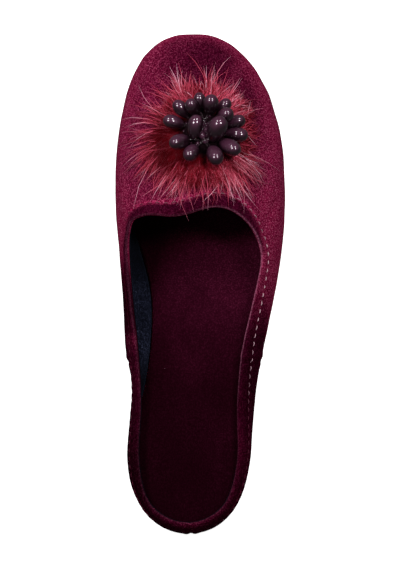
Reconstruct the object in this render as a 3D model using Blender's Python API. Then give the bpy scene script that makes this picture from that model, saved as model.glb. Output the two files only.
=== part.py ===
"""A wedge house slipper for the right foot: a velvet mule with a low rim round the heel and a fur rosette
with a cluster of drop beads on the vamp. Metres, +Z up, toe along +Y, outer (lateral) side along +X.
It stands on z = 0, with the origin under the middle of its length and width."""

import math

import bmesh
import bpy
import numpy as np
from mathutils import Vector
from mathutils.bvhtree import BVHTree

MM = 0.001

# Driving sizes of the last and of the layers under it.
SOLE_LENGTH = 254.6 * MM
OUTSOLE_THICK = 3 * MM
FOREFOOT_THICK = 6.7 * MM
HEEL_LIFT = 25 * MM
TOE_SPRING = 6.5 * MM
INSOLE_THICK = 4 * MM
FIT_GAP = 0.3 * MM

# Where the heel's slope starts and ends, and where the toe starts to rise, as shares of the length.
SLOPE_FROM, SLOPE_TO, SPRING_FROM = 0.18, 0.68, 0.72

# Round ends of the sole's outline: length of each end and how full its curve is.
HEEL_ROUND, HEEL_FULLNESS = 42 * MM, 2.2
TOE_ROUND, TOE_FULLNESS = 72 * MM, 2.43

# Upper: wall of velvet, foam and lining, with a turned hem along the rim.
WALL_THICK = 2.4 * MM
HEM_WIDTH = 4.8 * MM
HEM_STEP = 0.5 * MM
SWELL_SPAN = 0.9

# Sides of the wedge and the sole: how far they draw in towards the floor.
TUCK_SIDE, TUCK_BACK = 2 * MM, 2.5 * MM
TUCK_CURVE = 1.4
OUTSOLE_LEDGE = 0.6 * MM
OUTSOLE_BEVEL = 0.8 * MM
INSOLE_EDGE = 1.2 * MM
INSOLE_CLEAR = 0.45 * MM

# Mesh density: sections round the shoe, rows up the wall outside, inside and over the rim, how closely the
# rows crowd towards the sole, and levels up the wedge's side.
SECTIONS = 72
OUTER_ROWS, INNER_ROWS, RIM_STEPS = 12, 9, 2
ROW_CROWDING = 1.4
PROFILE_SAMPLES, PROFILE_CROWDING = 81, 1.7
WEDGE_LEVELS = 5
SHARP_ANGLE = math.radians(50)

# Sole outline, in millimetres: distance from the heel's end, middle line, half width before the round ends.
SOLE_COLUMNS = ("from_heel", "middle", "half_width")
SOLE_TABLE = (
    (0, -5.3, 31.0),
    (33, -5.1, 30.7),
    (57, -2.9, 30.5),
    (81, 1.1, 29.3),
    (106, 4.4, 30.8),
    (121, 5.0, 32.7),
    (142, 3.6, 37.3),
    (167, 0.6, 42.4),
    (191, -0.7, 43.1),
    (219, -1.8, 42.9),
    (254.6, -4.4, 42.6),
)

# Rim of the upper, in degrees and millimetres: turn goes from the heel's back (0) along the inner side
# to the toe (180) and back along the outer side; x, y and up are the place of the rim's outer edge.
RIM_COLUMNS = ("turn", "x", "y", "up")
RIM_TABLE = (
    (0, -4.6, -123.2, 47.5),
    (25, -25.7, -112.1, 47.5),
    (45, -31.2, -88.5, 47.3),
    (62, -30.3, -59.0, 46.5),
    (75, -32.2, -32.5, 46.5),
    (85, -34.6, -11.0, 48.0),
    (95, -35.9, 9.0, 51.0),
    (103, -35.4, 20.0, 54.0),
    (112, -32.6, 30.0, 57.0),
    (122, -26.3, 33.4, 58.8),
    (134, -19.0, 33.7, 59.5),
    (148, -12.0, 33.0, 59.5),
    (164, -4.5, 33.9, 60.5),
    (180, 3.3, 36.2, 61.2),
    (196, 9.5, 37.4, 61.2),
    (212, 15.5, 36.8, 60.5),
    (226, 21.0, 34.6, 59.5),
    (238, 26.0, 30.6, 57.5),
    (248, 30.0, 25.5, 55.0),
    (257, 33.2, 18.5, 52.5),
    (265, 34.3, 9.5, 50.0),
    (275, 30.5, -9.5, 47.0),
    (285, 25.2, -32.5, 45.7),
    (298, 22.5, -59.0, 45.8),
    (315, 22.6, -88.5, 47.0),
    (335, 16.2, -112.0, 47.5),
)

# Shape of each wall section: share of its rise that the shoulder takes near the sole, how tight that
# shoulder's curve is, and how far the wall swells out past a plain sweep, in millimetres.
WALL_COLUMNS = ("turn", "shoulder", "tightness", "swell")
WALL_TABLE = (
    (0, 0.12, 2.0, 1.8),
    (45, 0.12, 2.0, 2.0),
    (66, 0.12, 2.0, 4.2),
    (75, 0.12, 2.0, 8.0),
    (86, 0.12, 2.0, 8.0),
    (103, 0.20, 2.5, 4.6),
    (118, 0.32, 5.0, 2.2),
    (148, 0.40, 8.0, 2.0),
    (180, 0.45, 9.0, 2.0),
    (212, 0.40, 8.0, 2.0),
    (242, 0.32, 5.0, 2.0),
    (257, 0.20, 2.5, 2.5),
    (275, 0.12, 2.0, 2.6),
    (285, 0.12, 2.0, 2.0),
    (315, 0.12, 2.0, 2.0),
)

# Fur rosette on the vamp: its place seen from above, its pad and its pointed locks.
ROSETTE_X, ROSETTE_Y = 4.6 * MM, 72.8 * MM
FUR_LIFT = 0.6 * MM
BOSS_RADIUS, BOSS_LIFT, BOSS_DOME = 10.6 * MM, 5.8 * MM, 5 * MM
LOCK_COUNT, SAMPLES_PER_LOCK = 22, 4
LOCK_ROOT, LOCK_TIP = 26 * MM, 33 * MM
LOCK_DRIFT, LOCK_SWING, SWING_WAVES = 3.5 * MM, 1.5 * MM, 5
LOCK_VALLEY = 0.5
BOSS_RINGS = (0.45, 0.8, 1.0)
UNDER_RINGS = (0.3, 0.5, 0.68, 0.85, 1.0)

# Depth of the fur, in millimetres, against the share of the way from the boss to a lock's tip.
FUR_COLUMNS = ("share", "depth")
FUR_TABLE = (
    (0.03, 3.2),
    (0.30, 3.4),
    (0.55, 4.8),
    (0.80, 4.0),
    (1.00, 1.2),
)

# Drop beads of the rosette that stand square on the boss: direction round the cluster from the outer side
# towards the toe, lean from the cluster's axis, both in degrees, and size against the standard bead.
BEAD_LENGTH, BEAD_WIDTH = 11 * MM, 6.6 * MM
BEAD_SEGMENTS, BEAD_RINGS = 10, 7
BEAD_TAPER, TAPER_CURVE = 0.38, 1.6
BEAD_COLUMNS = ("direction", "lean", "size")
BEAD_TABLE = (
    (15, 83, 0.96),
    (-8, 83, 1.04),
    (-36, 70, 1.30),
    (-68, 66, 1.18),
    (-116, 63, 1.08),
    (-149, 60, 1.26),
    (165, 83, 0.98),
    (137, 80, 0.97),
    (99, 70, 0.88),
    (50, 75, 0.90),
    (29, 54, 1.04),
    (74, 53, 1.10),
    (119, 56, 0.94),
)

# Drop beads that lie over the top of the boss: direction and lean of the place under the narrow end, heading
# and rise of the bead, all in degrees, lift of the narrow end over that place in millimetres, and size.
LYING_COLUMNS = ("direction", "lean", "heading", "rise", "lift", "size")
LYING_TABLE = (
    (-137, 42.4, 79, 22, 2.2, 1.10),
    (-55, 36.3, 55, 46, 0.75, 1.34),
)

# Colours as linear values, and roughness.
VELVET = ((0.130, 0.006, 0.030), 0.9)
INSOLE_VELVET = ((0.045, 0.003, 0.012), 0.95)
FUR = ((0.230, 0.016, 0.036), 0.7)
BEAD = ((0.016, 0.006, 0.010), 0.15)
RUBBER = ((0.012, 0.010, 0.011), 0.75)


def column(columns, rows, name):
    """One named column of a table as numbers."""
    return np.array([row[columns.index(name)] for row in rows], float)


def smooth(keys, values, at):
    """A smooth curve through the rows: cubic pieces with the slopes of their neighbours."""
    slopes = np.gradient(values, keys)
    i = np.clip(np.searchsorted(keys, at) - 1, 0, len(keys) - 2)
    span = keys[i + 1] - keys[i]
    s = (at - keys[i]) / span
    start = (2 * s**3 - 3 * s**2 + 1) * values[i] + (s**3 - 2 * s**2 + s) * span * slopes[i]
    end = (3 * s**2 - 2 * s**3) * values[i + 1] + (s**3 - s**2) * span * slopes[i + 1]
    return start + end


def round_the_shoe(columns, rows, name, turn):
    """A column of a table that goes round the shoe and joins up with itself, at each turn in degrees."""
    keys = column(columns, rows, "turn")
    values = column(columns, rows, name)
    wrapped_keys = np.concatenate([keys[-3:] - 360, keys, keys[:3] + 360])
    wrapped_values = np.concatenate([values[-3:], values, values[:3]])
    return smooth(wrapped_keys, wrapped_values, turn)


def share_along(y):
    return y / SOLE_LENGTH + 0.5


def ground_height(y):
    """Underside of the outsole: flat from the heel to the ball, then rising to the toe."""
    rise = np.clip((share_along(y) - SPRING_FROM) / (1 - SPRING_FROM), 0, None)
    return TOE_SPRING * rise**2


def seat_height(y):
    """Top of the wedge, on which the upper and the insole stand."""
    s = np.clip((share_along(y) - SLOPE_FROM) / (SLOPE_TO - SLOPE_FROM), 0, 1)
    heel = 1 - s * s * (3 - 2 * s)
    return ground_height(y) + OUTSOLE_THICK + FOREFOOT_THICK + HEEL_LIFT * heel


def sole_outline(turn):
    """Points of the wedge's top edge seen from above, one for each turn."""
    side = np.where(turn <= 180, -1, 1)
    from_heel = SOLE_LENGTH * (1 - np.cos(np.radians(turn))) / 2
    keys = column(SOLE_COLUMNS, SOLE_TABLE, "from_heel") * MM
    middle = smooth(keys, column(SOLE_COLUMNS, SOLE_TABLE, "middle") * MM, from_heel)
    half = smooth(keys, column(SOLE_COLUMNS, SOLE_TABLE, "half_width") * MM, from_heel)
    heel = np.clip(1 - from_heel / HEEL_ROUND, 0, 1)
    toe = np.clip(1 - (SOLE_LENGTH - from_heel) / TOE_ROUND, 0, 1)
    half = half * (1 - heel**2) ** (1 / HEEL_FULLNESS) * (1 - toe**2) ** (1 / TOE_FULLNESS)
    return np.stack([middle + side * half, from_heel - SOLE_LENGTH / 2], axis=1)


def outward(outline):
    """Outward directions of a closed outline that runs from the heel up the inner side."""
    along = np.roll(outline, -1, axis=0) - np.roll(outline, 1, axis=0)
    normal = np.stack([-along[:, 1], along[:, 0]], axis=1)
    return normal / np.linalg.norm(normal, axis=1, keepdims=True)


def drawn_in(outline, distance):
    """The outline moved in by a distance, or by one distance for each point."""
    return outline - outward(outline) * np.broadcast_to(distance, len(outline))[:, None]


def wall_profiles(turn):
    """Fine lines up the outside of the upper, from the sole to the rim: an array of section, sample, xyz."""
    foot = sole_outline(turn)
    rim = np.stack([round_the_shoe(RIM_COLUMNS, RIM_TABLE, n, turn) * MM for n in ("x", "y")], axis=1)
    rim_up = round_the_shoe(RIM_COLUMNS, RIM_TABLE, "up", turn) * MM
    shoulder, tightness, swell = (
        round_the_shoe(WALL_COLUMNS, WALL_TABLE, n, turn)[:, None] for n in WALL_COLUMNS[1:]
    )
    inward = np.linspace(0, 1, PROFILE_SAMPLES)[None, :] ** PROFILE_CROWDING
    rise = shoulder * np.sqrt(1 - (1 - inward) ** tightness) + (1 - shoulder) * inward
    puff = swell * MM * np.sin(math.pi * np.clip(rise / SWELL_SPAN, 0, 1))
    plan = foot[:, None, :] + (rim - foot)[:, None, :] * inward[..., None]
    plan = plan + outward(foot)[:, None, :] * puff[..., None]
    floor = seat_height(foot[:, 1]) + FIT_GAP
    height = floor[:, None] + (rim_up - floor)[:, None] * rise
    return np.concatenate([plan, height[..., None]], axis=2)


def at_lengths(profiles, lengths):
    """Points on each profile at the given lengths along it: an array of section, row, xyz."""
    steps = np.linalg.norm(np.diff(profiles, axis=1), axis=2)
    run = np.concatenate([np.zeros((len(profiles), 1)), np.cumsum(steps, axis=1)], axis=1)
    wanted = lengths(run[:, -1])
    picked = [
        [np.interp(w, r, p[:, axis]) for axis in range(3)] for p, r, w in zip(profiles, run, wanted)
    ]
    return np.array(picked).transpose(0, 2, 1)


def surface_normals(grid):
    """Outward normals of a grid of section, row, xyz that closes round the shoe."""
    round_shoe = np.roll(grid, -1, axis=0) - np.roll(grid, 1, axis=0)
    up_wall = np.gradient(grid, axis=1)
    normal = np.cross(up_wall, round_shoe)
    return normal / np.linalg.norm(normal, axis=2, keepdims=True)


def upper_rows(turn):
    """Outer and inner faces of the upper as grids of section, row, xyz, both from the sole to the rim."""
    profiles = wall_profiles(turn)

    def outer_lengths(whole):
        body = np.linspace(0, 1, OUTER_ROWS)[None, :] ** ROW_CROWDING * (whole - HEM_WIDTH)[:, None]
        hem = np.stack([whole - HEM_WIDTH + HEM_STEP, whole], axis=1)
        return np.concatenate([body, hem], axis=1)

    def inner_lengths(whole):
        return np.linspace(0, 1, INNER_ROWS)[None, :] ** ROW_CROWDING * whole[:, None]

    outer = at_lengths(profiles, outer_lengths)
    inner = at_lengths(profiles, inner_lengths)
    step = np.zeros(outer.shape[1])
    step[OUTER_ROWS:] = HEM_STEP
    outer = outer + surface_normals(outer) * step[None, :, None]
    inner = inner - surface_normals(inner) * WALL_THICK
    inner[:, 0, 2] = seat_height(inner[:, 0, 1]) + FIT_GAP
    return outer, inner


def rolled_rim(outer, inner):
    """Rows that round the rim over from the outer face's last row to the inner face's last row."""
    a, b = outer[:, -1], inner[:, -1]
    onward = outer[:, -1] - outer[:, -2]
    onward = onward / np.linalg.norm(onward, axis=1, keepdims=True)
    middle, reach = (a + b) / 2, np.linalg.norm(a - b, axis=1, keepdims=True) / 2
    rows = []
    for i in range(RIM_STEPS):
        angle = math.pi * (i + 1) / (RIM_STEPS + 1)
        rows.append(middle + (a - middle) * math.cos(angle) + onward * reach * math.sin(angle))
    return np.stack(rows, axis=1)


def material(name, finish):
    colour, roughness = finish
    made = bpy.data.materials.get(name) or bpy.data.materials.new(name)
    made.use_nodes = True
    shader = made.node_tree.nodes["Principled BSDF"]
    shader.inputs["Base Color"].default_value = (*colour, 1)
    shader.inputs["Roughness"].default_value = roughness
    shader.inputs["Metallic"].default_value = 0
    return made


def finished_mesh(name, shape, finish):
    """A mesh from a bmesh shape, with its faces turned outwards, shaded smooth and given its material."""
    mesh = bpy.data.meshes.new(name)
    bmesh.ops.recalc_face_normals(shape, faces=shape.faces)
    shape.to_mesh(mesh)
    shape.free()
    mesh.shade_smooth()
    mesh.set_sharp_from_angle(angle=SHARP_ANGLE)
    mesh.materials.append(material(*finish))
    return mesh


def add_object(name, mesh, parent):
    made = bpy.data.objects.new(name, mesh)
    bpy.context.scene.collection.objects.link(made)
    made.parent = parent
    return made


def add_solid(name, points, faces, finish, parent):
    """A named object from the points and faces of a closed surface."""
    shape = bmesh.new()
    corners = [shape.verts.new(p) for p in points]
    for face in faces:
        shape.faces.new([corners[i] for i in face])
    return add_object(name, finished_mesh(name, shape, finish), parent)


def ring_faces(rings, count, closed=False):
    """Quads between neighbouring rings of the same count, and from the last ring to the first if closed."""
    faces = []
    for r in range(rings if closed else rings - 1):
        low, high = r * count, (r + 1) % rings * count
        for i in range(count):
            j = (i + 1) % count
            faces.append((low + i, low + j, high + j, high + i))
    return faces


def across_faces(first, count):
    """A cover over one ring, made of strips that run straight across from the inner to the outer side."""
    faces = [(first, first + 1, first + count - 1)]
    for i in range(1, count // 2 - 1):
        faces.append((first + i, first + i + 1, first + count - i - 1, first + count - i))
    faces.append((first + count // 2 - 1, first + count // 2, first + count // 2 + 1))
    return faces


def stacked_rings(name, rings, finish, parent):
    """A solid from rings of points one above the other, covered at both ends."""
    count = len(rings[0])
    last = (len(rings) - 1) * count
    faces = ring_faces(len(rings), count) + across_faces(0, count) + across_faces(last, count)
    return add_solid(name, np.concatenate(rings), faces, finish, parent)


def lifted(outline, height):
    """The outline with a height for each of its points, from a function of y."""
    return np.concatenate([outline, height(outline[:, 1])[:, None]], axis=1)


def floor_tuck(turn):
    """How far the wedge has drawn in at its foot, most at the back."""
    return TUCK_SIDE + TUCK_BACK * np.clip(np.cos(np.radians(turn)), 0, 1) ** 2


def make_outsole(turn, parent):
    edge = drawn_in(sole_outline(turn), floor_tuck(turn) + OUTSOLE_LEDGE)
    under = drawn_in(edge, OUTSOLE_BEVEL)
    rings = [
        lifted(under, ground_height),
        lifted(edge, lambda y: ground_height(y) + OUTSOLE_BEVEL),
        lifted(edge, lambda y: ground_height(y) + OUTSOLE_THICK),
    ]
    return stacked_rings("outsole", rings, ("outsole_rubber", RUBBER), parent)


def make_wedge(turn, parent):
    outline = sole_outline(turn)
    rings = []
    for share in np.linspace(1, 0, WEDGE_LEVELS):
        edge = drawn_in(outline, floor_tuck(turn) * share**TUCK_CURVE)

        def height(y, share=share):
            top, foot = seat_height(y), ground_height(y) + OUTSOLE_THICK + FIT_GAP
            return top + (foot - top) * share

        rings.append(lifted(edge, height))
    return stacked_rings("wedge", rings, ("wedge_velvet", VELVET), parent)


def insole_outline(turn):
    """Edge of the insole: clear of the upper's inner face at its foot and at the insole's top."""
    outline = sole_outline(turn)
    inner = upper_rows(turn)[1]
    above = inner[:, :, 2] - inner[:, :1, 2]
    depth = ((outline[:, None, :] - inner[:, :, :2]) * outward(outline)[:, None, :]).sum(axis=2)
    at_top = np.array([np.interp(INSOLE_THICK, a, d) for a, d in zip(above, depth)])
    return drawn_in(outline, np.maximum(depth[:, 0], at_top) + INSOLE_CLEAR)


def make_insole(turn, parent):
    edge = insole_outline(turn)
    rings = [
        lifted(edge, lambda y: seat_height(y) + FIT_GAP),
        lifted(edge, lambda y: seat_height(y) + FIT_GAP + INSOLE_THICK - INSOLE_EDGE),
        lifted(drawn_in(edge, INSOLE_EDGE), lambda y: seat_height(y) + FIT_GAP + INSOLE_THICK),
    ]
    return stacked_rings("insole", rings, ("insole_velvet", INSOLE_VELVET), parent)


def make_upper(turn, parent):
    outer, inner = upper_rows(turn)
    grid = np.concatenate([outer, rolled_rim(outer, inner), inner[:, ::-1]], axis=1)
    rings = grid.transpose(1, 0, 2)
    faces = ring_faces(len(rings), len(turn), closed=True)
    return add_solid("upper", rings.reshape(-1, 3), faces, ("upper_velvet", VELVET), parent)


class Vamp:
    """The upper's outer face, found from above."""

    def __init__(self, upper):
        mesh = upper.data
        points = [v.co for v in mesh.vertices]
        self.tree = BVHTree.FromPolygons(points, [p.vertices for p in mesh.polygons])

    def at(self, x, y):
        """Place and normal of the face under a point seen from above."""
        place, normal, _, _ = self.tree.ray_cast(Vector((x, y, 1)), Vector((0, 0, -1)))
        return place, normal


def rosette_axes(vamp):
    """The cluster's frame: its foot on the vamp, outer side, towards the toe, and its axis, which stands
    halfway between straight up and straight out from the vamp."""
    place, normal = vamp.at(ROSETTE_X, ROSETTE_Y)
    axis = (normal + Vector((0, 0, 1))).normalized()
    side = (Vector((1, 0, 0)) - axis * axis.x).normalized()
    toeward = axis.cross(side)
    return place + normal * FUR_LIFT, side, toeward, axis


def lock_reach(angle):
    """Radius of the fur's edge and how far up the nearest lock that edge is, 0 between locks and 1 at a tip."""
    phase = angle * LOCK_COUNT / math.tau
    ridge = 1 - abs((phase % 1) * 2 - 1)
    tip = LOCK_TIP - LOCK_DRIFT * math.cos(angle) + LOCK_SWING * math.sin(SWING_WAVES * angle)
    return LOCK_ROOT + (tip - LOCK_ROOT) * ridge, ridge


def make_fur_rosette(vamp, parent):
    """The pad with its boss in the middle and a ridge running out along each lock."""
    count = LOCK_COUNT * SAMPLES_PER_LOCK
    angles = [math.tau * i / count for i in range(count)]
    foot, side, toeward, axis = rosette_axes(vamp)

    def raised(angle, radius, depth):
        x, y = ROSETTE_X + radius * math.cos(angle), ROSETTE_Y + radius * math.sin(angle)
        place, normal = vamp.at(x, y)
        return place + normal * (FUR_LIFT + depth)

    rings = []
    for share in BOSS_RINGS:
        centre = foot + axis * (BOSS_LIFT + BOSS_DOME * math.sqrt(1 - share**2))
        radius = BOSS_RADIUS * share
        rings.append([centre + (side * math.cos(a) + toeward * math.sin(a)) * radius for a in angles])
    shares, depths = (column(FUR_COLUMNS, FUR_TABLE, name) for name in FUR_COLUMNS)
    for share, depth in zip(shares, depths):
        ring = []
        for a in angles:
            reach, ridge = lock_reach(a)
            crest = depth * MM * (1 - LOCK_VALLEY * share * (1 - ridge))
            ring.append(raised(a, BOSS_RADIUS + (reach - BOSS_RADIUS) * share, crest))
        rings.append(ring)
    for share in reversed(UNDER_RINGS):
        rings.append([raised(a, lock_reach(a)[0] * share, 0) for a in angles])

    points = [p for ring in rings for p in ring] + [foot + axis * (BOSS_LIFT + BOSS_DOME), foot]
    faces = ring_faces(len(rings), count)
    summit, middle, last = len(points) - 2, len(points) - 1, (len(rings) - 1) * count
    for i in range(count):
        j = (i + 1) % count
        faces += [(summit, i, j), (middle, last + j, last + i)]
    return add_solid("fur_rosette", points, faces, ("rosette_fur", FUR), parent)


def drop_mesh():
    """The standard bead along +Z: a ball drawn out from its narrow end, which is at the origin."""
    shape = bmesh.new()
    bmesh.ops.create_uvsphere(shape, u_segments=BEAD_SEGMENTS, v_segments=BEAD_RINGS, radius=0.5)
    for corner in shape.verts:
        share = corner.co.z + 0.5
        width = BEAD_WIDTH * (1 - BEAD_TAPER * (1 - share) ** TAPER_CURVE)
        corner.co = (corner.co.x * width, corner.co.y * width, share * BEAD_LENGTH)
    return finished_mesh("drop", shape, ("bead_gloss", BEAD))


def make_beads(vamp, parent):
    """Beads that stand square on the boss with their narrow end, then those that lie over its top."""
    foot, side, toeward, axis = rosette_axes(vamp)
    mesh = drop_mesh()

    def outward(degrees):
        return side * math.cos(math.radians(degrees)) + toeward * math.sin(math.radians(degrees))

    def place_on_boss(row):
        off_axis = math.radians(row["lean"])
        away = outward(row["direction"])
        height = BOSS_LIFT + BOSS_DOME * math.cos(off_axis)
        seat = foot + away * (BOSS_RADIUS * math.sin(off_axis)) + axis * height
        normal = away * (math.sin(off_axis) / BOSS_RADIUS) + axis * (math.cos(off_axis) / BOSS_DOME)
        return seat, normal.normalized()

    placed = []
    for row in (dict(zip(BEAD_COLUMNS, values)) for values in BEAD_TABLE):
        seat, normal = place_on_boss(row)
        placed.append((seat + normal * FIT_GAP, normal, row["size"]))
    for row in (dict(zip(LYING_COLUMNS, values)) for values in LYING_TABLE):
        seat, _ = place_on_boss(row)
        rise = math.radians(row["rise"])
        along = outward(row["heading"]) * math.cos(rise) + axis * math.sin(rise)
        placed.append((seat + axis * (row["lift"] * MM), along, row["size"]))
    for number, (start, along, size) in enumerate(placed, start=1):
        bead = add_object(f"bead_{number:02d}", mesh, parent)
        bead.location = start
        bead.rotation_euler = along.to_track_quat("Z", "Y").to_euler()
        bead.scale = [size] * 3


def main():
    for obj in list(bpy.data.objects):
        bpy.data.objects.remove(obj)
    slipper = bpy.data.objects.new("slipper", None)
    bpy.context.scene.collection.objects.link(slipper)
    turn = np.linspace(0, 360, SECTIONS, endpoint=False)
    make_outsole(turn, slipper)
    make_wedge(turn, slipper)
    make_insole(turn, slipper)
    upper = make_upper(turn, slipper)
    vamp = Vamp(upper)
    make_fur_rosette(vamp, slipper)
    make_beads(vamp, slipper)


main()
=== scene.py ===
"""Looks of a velvet wedge slipper for the right foot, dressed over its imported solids: velvet upper with a
stitched hem, fleece lining, padded insole, wrapped wedge, rubber sole, and a fur rosette with drop beads.
Metres, +Z up, toe along +Y, outer side of the foot along +X."""

import math

import bpy
import numpy as np
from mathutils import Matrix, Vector
from mathutils import noise
from mathutils.bvhtree import BVHTree
from mathutils.kdtree import KDTree


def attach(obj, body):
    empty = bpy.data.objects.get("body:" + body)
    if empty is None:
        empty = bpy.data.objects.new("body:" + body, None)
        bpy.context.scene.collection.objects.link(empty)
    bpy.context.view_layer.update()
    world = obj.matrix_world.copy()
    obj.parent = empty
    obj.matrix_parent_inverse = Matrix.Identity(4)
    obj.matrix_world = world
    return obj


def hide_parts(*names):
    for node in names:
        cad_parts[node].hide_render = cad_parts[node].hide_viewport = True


MM = 0.001

# The photograph's frame, and the eye above the slipper that leans a little to its outer side.
PHOTO_HEIGHT, PIXEL = 570, 0.513 * MM
EYE_DISTANCE, EYE_LEAN = 0.85, math.radians(4.5)
LOOK_AT = Vector((0, -2.1, 25)) * MM
SENSOR_LONG_SIDE = 36

# The last and the wall of the upper, as the solids have them.
SOLE_LENGTH = 254.6 * MM
OUTSOLE_THICK = 3 * MM
FOREFOOT_THICK = 6.7 * MM
HEEL_LIFT = 25 * MM
TOE_SPRING = 6.5 * MM
FIT_GAP = 0.3 * MM
SLOPE_FROM, SLOPE_TO, SPRING_FROM = 0.18, 0.68, 0.72
HEEL_ROUND, HEEL_FULLNESS = 42 * MM, 2.2
TOE_ROUND, TOE_FULLNESS = 72 * MM, 2.43
WALL_THICK = 2.4 * MM
HEM_WIDTH, HEM_STEP = 5.3 * MM, 0.5 * MM
SWELL_SPAN = 0.9
PROFILE_SAMPLES, PROFILE_CROWDING = 161, 1.7

# Rings of the upper's mesh, from the sole up the outside, over the rim and down the inside.
SECTIONS = 288
OUTER_ROWS, INNER_ROWS, RIM_STEPS = 22, 14, 2
ROW_CROWDING = 1.3
HEM_RING = OUTER_ROWS
RIM_RING = OUTER_ROWS + 1
INSIDE_RING = RIM_RING + RIM_STEPS + 1
RINGS = INSIDE_RING + INNER_ROWS
STITCH_RING = HEM_RING - 1
SHEEN_RING, SHEEN_SPAN = INSIDE_RING - 0.9, 0.9
LINING_FROM_RING, LINING_THICK = INSIDE_RING + 0.4, 0.45 * MM

# Sole outline, in millimetres: distance from the heel's end, middle line, half width before the round ends.
SOLE_TABLE = (
    (0, -5.3, 31),
    (33, -5.1, 30.7),
    (57, -2.9, 30.5),
    (81, 1.1, 29.3),
    (106, 4.4, 30.8),
    (121, 5, 32.7),
    (142, 3.6, 37.3),
    (167, 0.6, 42.4),
    (191, -0.7, 43.1),
    (219, -1.8, 42.9),
    (254.6, -4.4, 42.6),
)

# Rim of the upper: turn in degrees, from the heel's back (0) along the inner side to the toe (180) and back
# along the outer side, then x, y and height of the rim's outer edge in millimetres.
RIM_TABLE = (
    (0, -4.6, -123.2, 47.5),
    (25, -25.7, -112.1, 47.5),
    (45, -31.2, -88.5, 47.3),
    (62, -30.3, -59, 46.5),
    (75, -32.2, -32.5, 46.5),
    (85, -34.6, -11, 48),
    (95, -35.9, 9, 51),
    (103, -35.4, 20, 54),
    (112, -32.6, 30, 57),
    (122, -26.3, 33.4, 58.8),
    (134, -19, 33.7, 59.5),
    (148, -12, 33, 59.5),
    (164, -4.5, 33.9, 60.5),
    (180, 3.3, 36.2, 61.2),
    (196, 9.5, 37.4, 61.2),
    (212, 15.5, 36.8, 60.5),
    (226, 21, 34.6, 59.5),
    (238, 26, 30.6, 57.5),
    (248, 30, 25.5, 55),
    (257, 33.2, 18.5, 52.5),
    (265, 34.3, 9.5, 50),
    (275, 30.5, -9.5, 47),
    (285, 25.2, -32.5, 45.7),
    (298, 22.5, -59, 45.8),
    (315, 22.6, -88.5, 47),
    (335, 16.2, -112, 47.5),
)

# Shape of each wall section: turn, share of its rise that the shoulder takes near the sole, how tight that
# shoulder's curve is, and how far the wall swells out past a plain sweep, in millimetres.
WALL_TABLE = (
    (0, 0.12, 2, 1.8),
    (45, 0.12, 2, 2),
    (66, 0.12, 2, 4.2),
    (75, 0.12, 2, 8),
    (86, 0.12, 2, 8),
    (103, 0.2, 2.5, 4.6),
    (118, 0.32, 5, 2.2),
    (148, 0.4, 8, 2),
    (180, 0.45, 9, 2),
    (212, 0.4, 8, 2),
    (242, 0.32, 5, 2),
    (257, 0.2, 2.5, 2.5),
    (275, 0.12, 2, 2.6),
    (285, 0.12, 2, 2),
    (315, 0.12, 2, 2),
)

# Top stitching along the hem: the threads, then the groove, roll and puckers that they pull into the pile.
STITCH_PITCH, STITCH_LENGTH, STITCH_RADIUS = 4.2 * MM, 2.6 * MM, 0.25 * MM
STITCH_SIDES, STITCH_STEPS = 6, 6
STITCH_ARCH, STITCH_SUNK, STITCH_END = 0.4 * MM, 0.12 * MM, 0.45
STITCH_PROBE = 0.2 * MM
HEM_GROOVE, HEM_GROOVE_WIDTH, HEM_GROOVE_PUCKER = 0.32 * MM, 1 * MM, 0.5
HEM_ROLL, HEM_ROLL_AWAY, HEM_ROLL_WIDTH = 0.28 * MM, 2.6 * MM, 1.5 * MM
PUCKER, PUCKER_AWAY, PUCKER_WIDTH = 0.14 * MM, 2 * MM, 1.6 * MM

# Seams of the upper, where the vamp meets the quarters and where the quarters meet at the back.
INNER_SEAM, INNER_SEAM_LEAN = Vector((-33, -40.7, 40)) * MM, 0.15
OUTER_SEAM, OUTER_SEAM_LEAN, OUTER_SEAM_SWEEP = Vector((26.5, -40.3, 40)) * MM, 0.25, 0.5
BACK_SEAM_X, UPPER_BACK_Y, WEDGE_BACK_Y = -3.5 * MM, -90 * MM, -95 * MM
SEAM_GROOVE, SEAM_GROOVE_WIDTH = 0.4 * MM, 0.9 * MM
SEAM_ROLL, SEAM_ROLL_AWAY, SEAM_ROLL_WIDTH = 0.3 * MM, 2.4 * MM, 1.6 * MM
VAMP_EDGE_PROUD, VAMP_EDGE_FADE, VAMP_EDGE_STEP = 0.45 * MM, 14 * MM, 1.2 * MM

# Main creases of the upper: from and to in millimetres, half width and depth, below zero for a ridge.
CREASES = (
    ((36, -4, 40), (34.5, -14, 33), 2.2, 0.5),
    ((35.5, -9.5, 40), (33.5, -20, 33), 2.4, -0.5),
    ((33, -20, 40), (31.5, -31, 33), 2.2, 0.45),
    ((-36.5, 24, 50), (-40, 40, 38), 3.2, 0.55),
    ((33.5, 23, 50), (39, 38, 38), 3.2, 0.5),
    ((-30, 44, 53), (-36, 62, 42), 3.6, 0.4),
    ((31, 47, 50), (36, 64, 40), 3.6, 0.4),
    ((-14, 116, 34), (6, 117, 34), 3, 0.35),
)

# Unevenness of each surface: size and height of its waves in millimetres, seed, and how much shorter they
# are upwards. The upper is also gathered into its seam with the sole.
UPPER_WAVES = ((26, 0.32, 3.1, 1), (9, 0.12, 5.3, 1))
INSOLE_WAVES = ((18, 0.25, 7.7, 1), (6, 0.1, 9.1, 1))
WEDGE_WAVES = ((13, 0.35, 4.4, 2.2), (5, 0.18, 8.2, 2.5))
GATHER, GATHER_SIZE, GATHER_SEED = 0.25 * MM, 6.5 * MM, 1.7
GATHER_RINGS, GATHER_SHARE = (0, 2, 7), (0.4, 1, 0)
WEDGE_SIDE_ONLY = 1.6

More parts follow.
